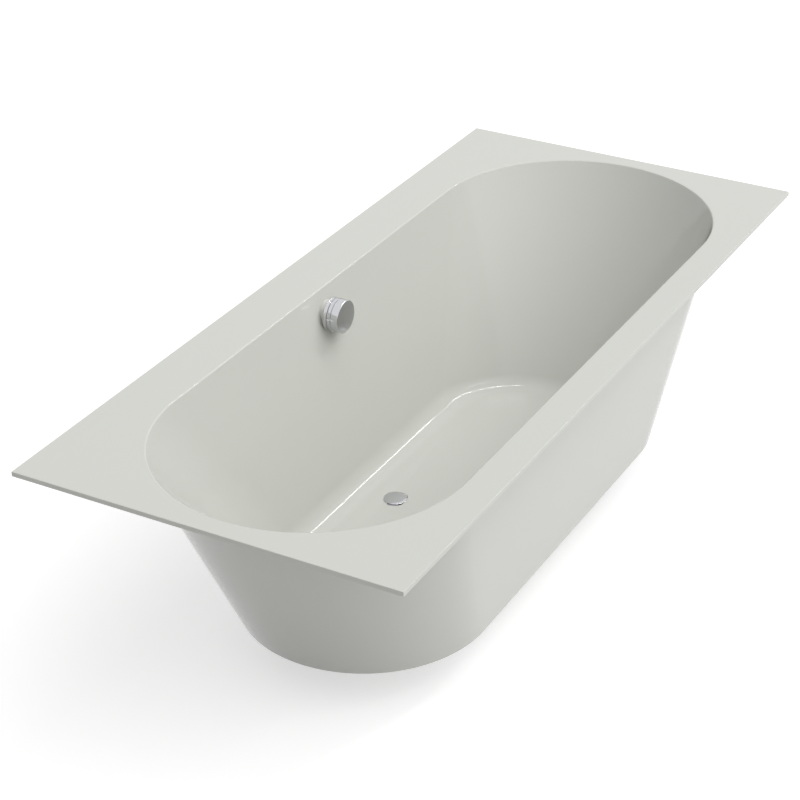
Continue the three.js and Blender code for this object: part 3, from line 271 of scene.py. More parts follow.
FINISHES = {
    "acrylic": finish(
        "gloss_acrylic", (0.617, 0.624, 0.584), (3, 0.012), (5, 0.045, 0.075),
        (260, 0.04, 0.0002), IOR=1.49, Specular_IOR_Level=0.3,
    ),
    "chrome": finish(
        "chrome_plate", (0.62, 0.625, 0.65), (30, 0.04), (60, 0.05, 0.13),
        (900, 0.03, 0.0001), Metallic=1,
    ),
    "zinc_steel": finish(
        "zinc_plated_steel", (0.52, 0.54, 0.56), (90, 0.35), (120, 0.28, 0.5),
        (700, 0.12, 0.0002), 0.25, Metallic=1,
    ),
    "nut_steel": finish(
        "bright_nut_steel", (0.56, 0.55, 0.53), (150, 0.25), (160, 0.22, 0.42),
        (900, 0.1, 0.0002), 0.2, Metallic=1,
    ),
    "board": finish(
        "pressed_board", (0.36, 0.26, 0.16), (220, 0.8), (90, 0.7, 0.95),
        (420, 0.5, 0.0005), 0.15,
    ),
    "white_plastic": finish(
        "white_moulded_plastic", (0.78, 0.78, 0.75), (20, 0.04), (60, 0.32, 0.5),
        (1200, 0.1, 0.0002), 0.2,
    ),
    "grey_plastic": finish(
        "grey_moulded_plastic", (0.26, 0.28, 0.3), (24, 0.12), (60, 0.42, 0.62),
        (1100, 0.2, 0.0002), 0.3,
    ),
    "black_rubber": finish(
        "black_rubber", (0.022, 0.022, 0.024), (40, 0.35), (80, 0.6, 0.85),
        (1300, 0.25, 0.0002), 0.12,
    ),
    "white_rubber": finish(
        "white_rubber", (0.68, 0.68, 0.64), (40, 0.08), (80, 0.55, 0.8),
        (1300, 0.2, 0.0002), 0.2,
    ),
}


# Mesh helpers
def fresh():
    bm = bmesh.new()
    bm.verts.layers.int.new("step")
    return bm


def new_points(bm, before):
    return [vert for vert in bm.verts if vert not in before]


def only(kind, items):
    return [item for item in items if isinstance(item, kind)]


def spin(bm, profile, place=Matrix(), steps=64):
    """Spins (radius, height) points about Z and brings the result to its place."""
    before = set(bm.verts)
    verts = [bm.verts.new((radius, 0, height)) for radius, height in profile]
    edges = [bm.edges.new(pair) for pair in zip(verts, verts[1:])]
    if profile[0][0] or profile[-1][0]:
        edges.append(bm.edges.new((verts[-1], verts[0])))
    bmesh.ops.spin(
        bm, geom=verts + edges, cent=(0, 0, 0), axis=(0, 0, 1), dvec=(0, 0, 0),
        angle=2 * pi, steps=steps, use_merge=True, use_duplicate=False,
    )
    made = new_points(bm, before)
    bmesh.ops.remove_doubles(bm, verts=made, dist=0.001)
    made = new_points(bm, before)
    bmesh.ops.transform(bm, matrix=place, verts=made)
    return made


def edges_between(verts):
    chosen = set(verts)
    found = {edge for vert in chosen for edge in vert.link_edges}
    return [edge for edge in found if chosen.issuperset(edge.verts)]


def sweep(bm, rows, cap=True):
    """Extrudes a loop of points through rows of places. Returns first and last edges."""
    step = bm.verts.layers.int["step"]
    count = len(rows[0])
    verts = bmesh.ops.create_circle(bm, cap_ends=False, segments=count, radius=1)["verts"]
    for i, (vert, point) in enumerate(zip(verts, rows[0])):
        vert[step] = i
        vert.co = point
    edges = first = edges_between(verts)
    for row in rows[1:]:
        made = bmesh.ops.extrude_edge_only(bm, edges=edges)["geom"]
        verts = only(bmesh.types.BMVert, made)
        for vert in verts:
            vert.co = row[vert[step]]
        edges = edges_between(verts)
    if cap:
        bmesh.ops.edgeloop_fill(bm, edges=first)
        bmesh.ops.edgeloop_fill(bm, edges=edges)
    return first, edges


def shell(bm, rows):
    """A closed form: the last row joins the first."""
    sweep(bm, rows + rows[:1], cap=False)


def ring_row(radius, height, count, place):
    """A ring of places about Z. Its radius is a number or a function of the angle."""
    row = []
    for angle in evenly(0, 2 * pi, count)[:-1]:
        reach = radius(angle) if callable(radius) else radius
        row.append(place @ Vector((reach * cos(angle), reach * sin(angle), height)))
    return row


FLUTE_SHAPE = 0.6


def fluted_row(radius, height, flute, count, place, lobes):
    """A ring with shallow flutes pressed into it between its lobes."""
    def reach_at(angle):
        return radius - flute * (1 - abs(sin(lobes * angle / 2)) ** FLUTE_SHAPE)

    return ring_row(reach_at, height, count, place)


def fluted(bm, profile, place, count, lobes, cap=False):
    """A form about Z from (radius, height) or (radius, height, flute depth) points."""
    rows = [fluted_row(*(*point, 0)[:3], count, place, lobes) for point in profile]
    sweep(bm, rows if cap else rows + rows[:1], cap)


def pipe(bm, inside, outside, low, high, place, steps=64):
    spin(bm, [(inside, low), (outside, low), (outside, high), (inside, high)], place, steps)


def box(bm, size, place):
    bmesh.ops.create_cube(bm, size=1, matrix=place @ Matrix.Diagonal((*size, 1)))


def hex_nut(bm, across, hole, low, high, place):
    """A nut drawn about Z, with turned corners and broken edges at its bore."""
    chamfer = (across / sqrt(3) - across / 2) * 0.7
    turned_to = across / 2 * 1.01
    count, broken = 72, 0.5

    def flat(angle):
        return across / 2 / cos((angle % (pi / 3)) - pi / 6)

    def corner(angle):
        return min(flat(angle), turned_to)

    outline = [
        (hole + broken, low), (corner, low), (flat, low + chamfer), (flat, high - chamfer),
        (corner, high), (hole + broken, high), (hole, high - broken), (hole, low + broken),
    ]
    shell(bm, [ring_row(radius, height, count, place) for radius, height in outline])


def soften(bm, edges, radius, segments, clamp=False):
    bmesh.ops.bevel(
        bm, geom=edges, offset=radius, offset_type="OFFSET", segments=segments, profile=0.5,
        affect="EDGES", clamp_overlap=clamp, material=-1,
    )


def curve_points(route, spacing):
    """Points along a centripetal curve through the route, at an even spacing."""
    first = route[0] * 2 - route[1]
    last = route[-1] * 2 - route[-2]
    knots = [first, *route, last]
    parts, fine = 60, []
    for a, b, c, d in zip(knots, knots[1:], knots[2:], knots[3:]):
        t1 = sqrt((b - a).length)
        t2 = t1 + sqrt((c - b).length)
        t3 = t2 + sqrt((d - c).length)
        for i in range(parts):
            t = t1 + (t2 - t1) * i / parts
            share = (t - t1) / (t2 - t1)
            bc = b.lerp(c, share)
            abc = a.lerp(b, t / t1).lerp(bc, t / t2)
            bcd = bc.lerp(c.lerp(d, (t - t2) / (t3 - t2)), (t - t1) / (t3 - t1))
            fine.append(abc.lerp(bcd, share))
    fine.append(route[-1])
    travelled = [0.0]
    for p, q in zip(fine, fine[1:]):
        travelled.append(travelled[-1] + (q - p).length)
    count = max(2, round(travelled[-1] / spacing))
    points, j = [], 0
    for goal in evenly(0, travelled[-1], count):
        while j < len(fine) - 2 and travelled[j + 1] < goal:
            j += 1
        share = (goal - travelled[j]) / (travelled[j + 1] - travelled[j])
        points.append(fine[j].lerp(fine[j + 1], share))
    return points, travelled[-1]


def tube_rows(points, radii, sides, across=Vector((1, 0, 0))):
    """Rings of places round a line of points, each with its own radius."""
    rows = []
    for i, (point, radius) in enumerate(zip(points, radii)):
        ahead = points[min(i + 1, len(points) - 1)] - points[max(i - 1, 0)]
        side = ahead.cross(across).normalized()
        lift = side.cross(ahead).normalized()
        turns = evenly(0, 2 * pi, sides)[:-1]
        rows.append([point + (side * cos(a) + lift * sin(a)) * radius for a in turns])
    return rows


MERGE_REACH = 0.002
SHORT_EDGE = 0.0005


def finish_piece(name, bm, slot, *replaced, body="bath", edge=0.0, angle=32):
    """Merges a shape, turns it outwards and into metres, and links it as a piece."""
    bmesh.ops.remove_doubles(bm, verts=bm.verts, dist=MERGE_REACH)
    bmesh.ops.dissolve_degenerate(bm, dist=SHORT_EDGE, edges=bm.edges)
    bmesh.ops.recalc_face_normals(bm, faces=bm.faces)
    bmesh.ops.scale(bm, vec=(MM, MM, MM), verts=bm.verts)
    for face in bm.faces:
        face.smooth = True
    for line in bm.edges:
        line.smooth = line.calc_face_angle(0) < radians(angle) or edge > 0
    bm.verts.layers.int.remove(bm.verts.layers.int["step"])
    mesh = bpy.data.meshes.new(name)
    bm.to_mesh(mesh)
    bm.free()
    mesh.materials.append(FINISHES[slot])
    piece = new_object(name, mesh)
    if edge:
        rounding = piece.modifiers.new("rounded edges", "BEVEL")
        rounding.width = edge * MM
        rounding.segments = 2
        rounding.limit_method = "ANGLE"
        rounding.angle_limit = radians(angle)
    shading = piece.modifiers.new("even shading", "WEIGHTED_NORMAL")
    shading.keep_sharp = True
    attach(piece, body)
    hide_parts(*replaced)


def turned(name, node, slot, profile, place, steps, angle=32, body="bath"):
    """A piece that is one spun profile."""
    bm = fresh()
    spin(bm, profile, place, steps)
    finish_piece(name, bm, slot, node, body=body, angle=angle)


def fluted_nut(name, node, hole, broken, outline, half, place, lobes):
    """A screwed ring: outline is (radius, height, flute depth) points round its outside."""
    bm = fresh()
    mouth = [(hole, broken - half, 0), (hole + broken, -half, 0)]
    back = [(hole + broken, half, 0), (hole, half - broken, 0)]
    fluted(bm, mouth + outline + back, place, 6 * lobes, lobes)
    finish_piece(name, bm, "white_plastic", node, angle=36)


def dressed(node, slot, edge=0.0, body="bath"):
    """A merged copy of a solid with soft edges, which stands for it."""
    bm = fresh()
    bm.from_mesh(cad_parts[node].data)
    bmesh.ops.scale(bm, vec=(1 / MM, 1 / MM, 1 / MM), verts=bm.verts)
    bmesh.ops.remove_doubles(bm, verts=bm.verts, dist=0.005)
    flat = [line for line in bm.edges if line.calc_face_angle(0) < radians(1)]
    bmesh.ops.dissolve_edges(bm, edges=flat, use_verts=False, use_face_split=False)
    finish_piece(node + "_form", bm, slot, node, body=body, edge=edge)


# Ovals: straight sides and half-round ends, with the outward direction of each step
def oval(size):
    half_length, half_width = size
    steps = []
    for side in (1, -1):
        for angle in evenly(-pi / 2, pi / 2, end_steps):
            outward = Vector((side * cos(angle), side * sin(angle), 0))
            centre = Vector((side * (half_length - half_width), basin_y, 0))
            steps.append((centre + outward * half_width, outward))
    return steps


def bowl_rows(offset):
    """Rows of the bowl from the rim's level to the floor, moved outwards by offset."""
    rim_margin, below_edge = 5, 9
    edge_steps, arc_steps = 8, 14
    rows = []
    for (edge, outward), (corner, _) in zip(oval(opening), oval(floor_oval)):
        run = (edge - corner).dot(outward)
        depth = rim_top - basin_floor
        lean = atan2(run, depth)
        places = []
        if offset == 0:
            flat = opening_edge / tan(pi / 4 + lean / 2)
            places.append((edge, flat + rim_margin, rim_top))
            for angle in evenly(pi / 2, lean, edge_steps):
                out = flat - opening_edge * cos(angle)
                places.append((edge, out, rim_top + opening_edge * (sin(angle) - 1)))
            places.append((edge, -sin(lean) * below_edge, rim_top - cos(lean) * below_edge))
        else:
            along = (rim_thickness - offset * sin(lean)) / cos(lean)
            out = offset * cos(lean) - along * sin(lean)
            places.append((edge, out, rim_underside))
        inset = floor_fillet * tan(pi / 4 - lean / 2)
        radius = floor_fillet + offset
        for angle in evenly(lean, pi / 2, arc_steps):
            height = basin_floor + floor_fillet - radius * sin(angle)
            places.append((corner, radius * cos(angle) - inset, height))
        rows.append([Vector((*(base + outward * out)[:2], z)) for base, out, z in places])
    return [list(row) for row in zip(*rows)]


def floor_rows(last, offset, radii):
    """Rows of the floor from the fillet's end to circles round the drain."""
    level = drain_floor - offset
    flat_end = 34
    ways = [Vector((point.x, point.y, 0)) - drain for point in last]
    rows = []
    for share in (0.98, 0.85, 0.7, 0.55, 0.4, 0.27, 0.16, 0.08, 0.03, 0.0):
        row = []
        for point, away in zip(last, ways):
            reach = flat_end + (away.length - flat_end) * share
            rise = share * share * (3 - 2 * share)
            place = drain + away.normalized() * reach
            row.append(Vector((place.x, place.y, level + (point.z - level) * rise)))
        rows.append(row)
    for radius, height in radii:
        places = [drain + away.normalized() * radius for away in ways]
        rows.append([Vector((place.x, place.y, height)) for place in places])
    return rows


def largest(faces):
    return max(faces, key=lambda face: face.calc_area())


def open_face(bm, face, hole):
    """Fills the face anew, round the loop of a hole in it."""
    around = list(face.edges)
    bmesh.ops.delete(bm, geom=[face], context="FACES_ONLY")
    bmesh.ops.triangle_fill(bm, edges=around + hole, use_beauty=True)


def punch(bm, facing, radius):
    """Opens a round hole along Y at the overflow in the flat long wall that faces so."""
    far_side = 100
    bm.normal_update()
    walls = [face for face in bm.faces if face.normal.y * facing > 0.9]
    wall = largest(face for face in walls if face.calc_center_median().y > far_side)
    normal, spot = wall.normal.copy(), wall.verts[0].co.copy()
    made = bmesh.ops.create_circle(
        bm, cap_ends=False, segments=64, radius=radius, matrix=at(overflow, "Y")
    )
    for vert in made["verts"]:
        vert.co.y = spot.y - (normal.z * (vert.co.z - spot.z)) / normal.y
    hole = edges_between(made["verts"])
    open_face(bm, wall, hole)
    return hole


def build_basin():
    bm = fresh()
    inside = bowl_rows(0)
    recess, neck_hole = drain_floor - 1.9, 22.5
    inside += floor_rows(
        inside[-1], 0,
        [(29.4, drain_floor), (28.9, drain_floor - 0.4), (28.8, recess), (neck_hole, recess)],
    )
    back = bowl_rows(sheet)
    under = floor_rows(back[-1], sheet, [(neck_hole, drain_floor - sheet)])
    rows = inside + under[::-1] + back[::-1]
    top_edges, low_edges = sweep(bm, rows, cap=False)
    inner_hole = punch(bm, -1, overflow_hole)
    outer_hole = punch(bm, 1, overflow_hole)
    bmesh.ops.bridge_loops(bm, edges=inner_hole + outer_hole)
    before = set(bm.verts)
    box(bm, (rim_length, rim_width, rim_thickness), at(up(rim_top - rim_thickness / 2)))
    soften(bm, edges_between(new_points(bm, before)), 1.2, 4, clamp=True)
    for level, oval_edges in ((rim_top, top_edges), (rim_underside, low_edges)):
        made = new_points(bm, before)
        rim_verts = [vert for vert in made if abs(vert.co.z - level) < 0.001]
        plate = largest(face for vert in rim_verts for face in vert.link_faces)
        open_face(bm, plate, oval_edges)
    finish_piece("basin_sheet", bm, "acrylic", "basin", angle=40)


def build_skin():
    bm = fresh()
    height = rim_underside - foot_level
    edge_round, round_steps = 1.5, 5
    broken = 0.8
    slices = []
    for (top, outward), (foot, _) in zip(oval(skin_top), oval(skin_foot)):
        run = (top - foot).dot(outward)
        lean = atan2(run, height)

        def wall(z, inward):
            share = (z - foot_level) / height
            place = foot.lerp(top, share) - outward * inward / cos(lean)
            return Vector((place.x, place.y, z))

        def lip(inward, z):
            place = foot - outward * inward
            return Vector((place.x, place.y, z))

        top_z = rim_underside - 0.2
        centre = wall(foot_level + edge_round, edge_round)
        rounded = []
        for angle in evenly(lean, pi / 2, round_steps):
            drop = up(edge_round * sin(angle))
            rounded.append(centre + outward * edge_round * cos(angle) - drop)
        low, high = foot_level, foot_level + skin_wall
        slices.append([
            wall(top_z, 0), wall(top_z - 4, 0), wall(high + 4, 0), *rounded,
            lip(skin_lip - broken, low), lip(skin_lip, low + broken),
            lip(skin_lip, high - broken), lip(skin_lip - broken, high), lip(12, high),
            wall(high + 4, 7), wall(high + 12, skin_wall), wall(top_z, skin_wall),
        ])
    shell(bm, [list(row) for row in zip(*slices)])
    outer_hole = punch(bm, 1, overflow_hole)
    inner_hole = punch(bm, -1, overflow_hole)
    bmesh.ops.bridge_loops(bm, edges=inner_hole + outer_hole)
    finish_piece("outer_skin_form", bm, "acrylic", "outer_skin", angle=40)


build_basin()
build_skin()


# Knob and rosette, about the overflow's line along Y
def build_rosette():
    front, back, plate_back = 257.88, 265.38, 259.88
    profile = [
        (4, front), (34.2, front), (34.8, front + 0.25), (35, front + 0.8),
        (35, back - 2.2), (35.4, back - 1.7), (35.9, back - 1.3), (36, back - 0.8),
        (36, back), (33, back), (33, plate_back), (4, plate_back),
    ]
    turned(
        "overflow_rosette_cup", "overflow_rosette", "chrome", profile,
        at(overflow, "Y"), 128, 40,
    )


GRIP_TURNS = (0.1745, pi + 0.1745)


def knob_profile(radius, front, back):
    """The knob's (radius, height) rows, from the middle of its face round its side to its
    hollow back: the face, the side that the grip slots may cut, and the back."""
    crown, chamfer = 1, 1.6
    groove, groove_half, side_steps, back_steps = 247.88, 1.2, 17, 6
    wall_inside, face_inside = 31.6, front + 3
    hub, hub_bore, hub_back = 7, 3.8, back - 2.4
    side_low, groove_low = front + crown + chamfer + 1, groove - 1.8
    side_start, side_end = groove + 1.6, back - 1
    face = []
    for share in (0.02, 0.25, 0.45, 0.62, 0.76, 0.87, 0.95, 1):
        face.append(((radius - chamfer) * share, front + crown * share ** 2))
    face += [
        (radius - 0.9, front + crown + 0.35), (radius - 0.3, front + crown + 0.95),
        (radius, front + crown + chamfer), (radius, side_low),
    ]
    side = []
    for height in evenly(side_low, groove_low, side_steps)[1:]:
        side.append((radius, height))
    side += [
        (radius, groove - groove_half), (radius - 1.4, groove - 0.5), (radius - 2, groove),
        (radius - 1.4, groove + 0.5), (radius, groove + groove_half), (radius, side_start),
    ]
    for height in evenly(side_start, side_end, back_steps)[1:]:
        side.append((radius, height))
    hollow = [
        (radius - 0.3, back - 0.3), (radius - 0.8, back), (wall_inside, back),
        (wall_inside, face_inside + 0.4), (wall_inside - 0.4, face_inside), (hub, face_inside),
        (hub, hub_back), (hub_bore, hub_back), (hub_bore, face_inside),
    ]
    return [(face, ()), (side, GRIP_TURNS), (hollow, ())]


def build_knob():
    radius, count = 36, 180
    grip_low, grip_top, grip_half, grip_deep = 238.4, 255.4, 2.0, 1.6
    side_fade, end_fade = 0.7, 1.2

    def fade(inside, reach):
        """0 outside an edge, 1 inside it, over a reach about the edge."""
        return min(max((inside + reach / 2) / reach, 0), 1)

    def cut_ring(reach, height, turns):
        ends = fade(height - grip_low, end_fade) * fade(grip_top - height, end_fade)

        def reach_at(angle):
            cuts = [reach]
            for middle in turns:
                across = abs((angle - middle + pi) % (2 * pi) - pi) * radius
                cuts.append(radius - grip_deep * fade(grip_half - across, side_fade) * ends)
            return min(cuts)

        return ring_row(reach_at, height, count, at(overflow, "Y"))

    rows = []
    for profile, turns in knob_profile(radius, 229.38, 256.88):
        rows += [cut_ring(reach, height, turns) for reach, height in profile]
    bm = fresh()
    sweep(bm, rows)
    finish_piece("turning_knob", bm, "chrome", "knob", body="knob_set", angle=30)


build_rosette()
build_knob()


# Drain: flush ring with its spider, and the domed plug
def build_drain():
    bm = fresh()
    flush = drain_floor
    profile = [
        (18, flush - 30), (21.2, flush - 30), (22, flush - 29.2), (22, flush - 1.6),
        (28.5, flush - 1.6), (28.5, flush - 0.7), (28.25, flush - 0.2), (27.7, flush),
        (20.6, flush), (19.2, flush - 0.4), (18.3, flush - 1.4), (18, flush - 2.8),
    ]
    spin(bm, profile, at(drain), 128)
    pipe(bm, 3.3, 6, flush - 15, flush - 11, at(drain), 32)
    for turn in evenly(0, 2 * pi, 4)[:-1]:
        place = at(drain + up(flush - 13), turn=turn)
        box(bm, (13.4, 3, 4), place @ Matrix.Translation((12, 0, 0)))
    finish_piece("drain_ring", bm, "chrome", "waste_flange", angle=40)


def build_plug():
    low = drain_floor - 6
    cap = drain_floor + 0.3
    cap_radius, cap_steps = 25, 12
    profile = [
        (0, low), (16.9, low), (16.9, low + 1.2), (14.5, low + 1.2), (14.5, cap),
        (24.3, cap), (24.8, cap + 0.25), (cap_radius, cap + 0.7),
    ]
    crown, edge_top = 1.6, cap + 1.4
    for angle in evenly(0, pi / 2, cap_steps)[:-1]:
        profile.append((cap_radius * cos(angle), edge_top + crown * sin(angle)))
    profile.append((0, edge_top + crown))
    turned("plug_dome", "plug_cap", "chrome", profile, at(drain), 128, 40, "plug_set")

    seal_inside, seal_edge, seal_steps = 14.8, 16.2, 8
    seal_low, seal_top = low + 1.5, cap - 0.3
    middle = (seal_low + seal_top) / 2
    profile = [(seal_inside, seal_low), (seal_edge, seal_low)]
    for angle in evenly(-pi / 2, pi / 2, seal_steps):
        height = middle + (seal_top - seal_low) / 2 * sin(angle)
        profile.append((seal_edge + cos(angle), height))
    profile += [(seal_edge, seal_top), (seal_inside, seal_top)]
    turned("plug_ring_seal", "plug_seal", "black_rubber", profile, at(drain), 96, 40, "plug_set")

    end, thread_end, pitch = 58.7, 74.7, 1
    profile = [(0, low), (3, low)]
    height = low
    while height - pitch > thread_end:
        profile += [(3, height - 0.2), (2.6, height - 0.5), (3, height - 0.8)]
        height -= pitch
    profile += [(3, end + 0.8), (2.2, end), (0, end)]
    turned("plug_threaded_stem", "plug_stem", "zinc_steel", profile, at(drain), 24, 50, "plug_set")


build_drain()
build_plug()


# Leg set: folded rails, welded nuts, threaded spindles, lock nuts, pads and screws
def build_rail(node, x):
    bm = fresh()
    half, height, wall, length = 20, 30, 2, 480
    end_cut, end_slope = 34, 18
    foot_reach, weld_x, bead_size = 120, 17.6, (1.6, 3.4, 1.2, 1)
    outline = [
        (-half, -height), (-half, 0), (half, 0), (half, -height),
        (half - wall, -height), (half - wall, -wall),
        (wall - half, -wall), (wall - half, -height),
    ]
    start = [bm.verts.new((px, -length / 2, pz)) for px, pz in outline]
    drawn = bmesh.ops.extrude_face_region(bm, geom=[bm.faces.new(start)])["geom"]
    end = only(bmesh.types.BMVert, drawn)
    bmesh.ops.translate(bm, vec=(0, length, 0), verts=end)
    for reach, level, radius in ((half, 0, 3), (half - wall, -wall, 1)):
        corner = {
            vert
            for vert in bm.verts
            if abs(abs(vert.co.x) - reach) < 0.01 and abs(vert.co.z - level) < 0.01
        }
        folds = [
            line
            for line in bm.edges
            if corner.issuperset(line.verts)
            and abs(line.verts[0].co.y - line.verts[1].co.y) > 1
        ]
        soften(bm, folds, radius, 5)
    for side in (-1, 1):
        cut = bmesh.ops.bisect_plane(
            bm, geom=bm.verts[:] + bm.edges[:] + bm.faces[:], dist=0.001,
            plane_co=(0, side * (length / 2 - end_cut), -height),
            plane_no=Vector((0, side * end_slope, -end_cut)).normalized(), clear_outer=True,
        )["geom_cut"]
        bmesh.ops.edgeloop_fill(bm, edges=only(bmesh.types.BMEdge, cut))
    for side in (-1, 1):
        y = side * foot_reach
        box(bm, (37, 34, 3), at((0, y, 1.5 - height)))
        hex_nut(bm, 17, 5.3, 3 - height, 11 - height, at((0, y, 0)))
        for px in (-weld_x, weld_x):
            for py in (-12, 0, 12):
                bead = Matrix.Translation((px, y + py, 3.2 - height))
                bead = bead @ Matrix.Diagonal(bead_size)
                bmesh.ops.create_icosphere(bm, subdivisions=2, radius=1, matrix=bead)
    bmesh.ops.translate(bm, vec=(x, basin_y, foot_level), verts=bm.verts)
    finish_piece(node + "_channel", bm, "zinc_steel", node, edge=0.3)


def pan_screw(bm, place, head, height, shank, length):
    """A screw drawn head upwards from its seat at 0, with a cross recess."""
    thread, lead_in, smooth = 0.9, 1.2, 0.5
    level = lead_in - length
    spec = [(shank * 0.5, -length), (shank * 0.96, level)]
    while level + thread < -smooth:
        spec += [(shank * 0.82, level + thread * 0.3), (shank, level + thread * 0.8)]
        level += thread
    spec += [(shank, 0), (head * 0.94, 0), (head, height * 0.12), (head, height * 0.35)]
    spec += [(head * 0.93, height * 0.68), (head * 0.8, height * 0.9), (head * 0.62, height)]
    low, top = sweep(bm, [ring_row(r, z, 32, place) for r, z in spec], cap=False)
    bmesh.ops.edgeloop_fill(bm, edges=low)
    arm, wide = head * 0.5, head * 0.13
    corner, cross = [(arm, -wide), (arm, wide), (wide, wide)], []
    for _ in range(4):
        cross += corner
        corner = [(-y, x) for x, y in corner]
    recess = [
        [place @ Vector((x * size, y * size, level)) for x, y in cross]
        for size, level in ((1, height), (0.7, height * 0.45))
    ]
    mouth, bottom = sweep(bm, recess, cap=False)
    bmesh.ops.triangle_fill(bm, edges=top + mouth, use_beauty=True)
    bmesh.ops.edgeloop_fill(bm, edges=bottom)


def build_foot(tag, x, y):
    centre = Vector((x, y, 0))
    body = "foot_" + tag
    bm = fresh()
    bottom, level, thread_end, top = 5.3, 21, 91.5, 92.7
    radius, root, pitch, chamfered = 5, 4.35, 1.5, 4.2
    profile = [(0, bottom), (chamfered, bottom), (radius, bottom + 0.8), (radius, level)]
    while level + pitch < thread_end:
        profile += [(root, level + 0.5), (root, level + 0.7)]
        profile += [(radius, level + 1.2), (radius, level + pitch)]
        level += pitch
    profile += [(radius, 91.6), (chamfered, top), (0, top)]
    spin(bm, profile, at(centre), 24)
    hex_nut(bm, 13.8, 4.9, 14.3, 19.3, at(centre))
    finish_piece("threaded_spindle_" + tag, bm, "zinc_steel", "foot_spindle_" + tag, body=body)

    bm = fresh()
    pad = [(1, 0)]
    for groove in (8, 14, 20):
        pad += [(groove - 0.5, 0), (groove, 0.8), (groove + 1.5, 0.8), (groove + 2, 0)]
    pad += [
        (24.3, 0), (25, 0.7), (25, 4), (24.5, 4.9), (23, 5.9, 0.2), (20, 7.7, 0.9),
        (14, 11.1, 0.9), (11.4, 12.6, 0.3), (10.4, 13.3), (9.7, 14), (5.8, 14),
        (5.3, 13.5), (5.3, 5), (1, 5),
    ]
    fluted(bm, pad, at(centre), 96, 16, cap=True)
    finish_piece(
        "swivel_pad_" + tag, bm, "grey_plastic", "foot_pad_" + tag, body=body, angle=38
    )

    bm = fresh()
    hex_nut(bm, 17, 5.2, 58.7, 64.7, at(centre))
    finish_piece("locking_nut_" + tag, bm, "nut_steel", "lock_nut_" + tag, angle=20)


for end, x in (("head", -rail_x), ("foot", rail_x)):
    build_rail("leg_rail_" + end, x)
    for side, y, spread in (("front", foot_y[0], -60), ("back", foot_y[1], 60)):
        tag = end + "_" + side
        build_foot(tag, x, y)
        bm = fresh()
        seat = Vector((x, basin_y + spread, foot_level - 2.3))
        down = Matrix.Translation(seat) @ Matrix.Rotation(pi, 4, "X")
        pan_screw(bm, down, 5, 2.4, 2.5, 10.5)
        finish_piece("pan_head_screw_" + tag, bm, "zinc_steel", "rail_screw_" + tag)

dressed("base_board", "board", edge=0.5)


# Waste body, its gasket, lever, pin and pull wire
def build_waste():
    ring = [
        (22.5, 102.9), (22.7, 102.7), (35.4, 102.7), (36, 103.3), (36, 105.1), (35.4, 105.7),
        (22.7, 105.7), (22.5, 105.5),
    ]
    turned("drain_gasket", "waste_gasket", "black_rubber", ring, at(drain), 96)

    bm = fresh()
    cup = [
        (0, 28.4), (28.6, 28.4), (30, 29.8), (30, 38), (30.7, 38.6), (30.7, 39.8), (30, 40.4),
        (30, 84), (30.7, 84.6), (30.7, 85.8), (30, 86.4), (30, 97.4), (31, 98.4), (35.4, 98.4),
        (36, 99), (36, 101.8), (35.4, 102.4), (22.8, 102.4), (22.3, 101.9), (22.3, 79.7),
        (26, 75.7), (26, 31.4), (0, 31.4),
    ]
    spin(bm, cup, at(drain), 96)
    port = drain + up(port_height)
    hose_port = [(17, 27), (17, 62.6), (16, 64), (13.4, 64), (13, 63.6), (13, 27)]
    spin(bm, hose_port, at(port, "Y"))
    spin(bm, [(17.8, 29), (17.8, 34), (17, 35.4), (17, 29)], at(port, "Y"))
    outlet = drain + up(outlet_height)
    mouth = [(21, 27), (21, 50.8), (20.2, 52), (18.4, 52), (18, 51.6), (18, 27)]
    spin(bm, mouth, at(outlet, "X"))
    spin(bm, [(22, 29), (22, 34), (21, 35.6), (21, 29)], at(outlet, "X"))
    gland = drain + up(gland_height)
    spin(bm, [(1.1, 27), (5, 27), (5, 43.4), (4.4, 44), (1.1, 44)], at(gland, "X", lever_turn), 32)
    hex_nut(bm, 11, 4.9, 33, 38, at(gland, "X", lever_turn))
    for turn in evenly(pi / 8, 15 * pi / 8, 7):
        brace = at(drain + up(95), turn=turn)
        box(bm, (4.4, 2, 6.8), brace @ Matrix.Translation((31.8, 0, 0)))
    finish_piece("waste_cup", bm, "white_plastic", "waste_body", angle=36)

    dressed("lift_lever", "zinc_steel", edge=0.25, body="lever")

    pivot_reach, pivot_height, cup_radius = 17, 60.8, 30
    pivot = drain + Matrix.Rotation(lever_turn, 3, "Z") @ Vector((-pivot_reach, 0, pivot_height))
    half = sqrt(cup_radius ** 2 - pivot_reach ** 2)
    pin = [(0, -half), (1.6, -half), (2, 0.4 - half), (2, half - 0.4), (1.6, half), (0, half)]
    pivot_line = at(pivot, "Y", lever_turn)
    turned("pivot_pin", "lever_pin", "zinc_steel", pin, pivot_line, 32)

    tip = -19.78
    strand = [(0, tip), (1, tip), (1.3, -19.4), (1.3, -16.4), (0.8, -15.8), (0.8, 33), (0, 33)]
    gland_line = at(gland, "X", lever_turn)
    turned(
        "sliding_wire_end", "pull_wire", "zinc_steel", strand, gland_line, 24,
        body="pull_wire_end",
    )


build_waste()


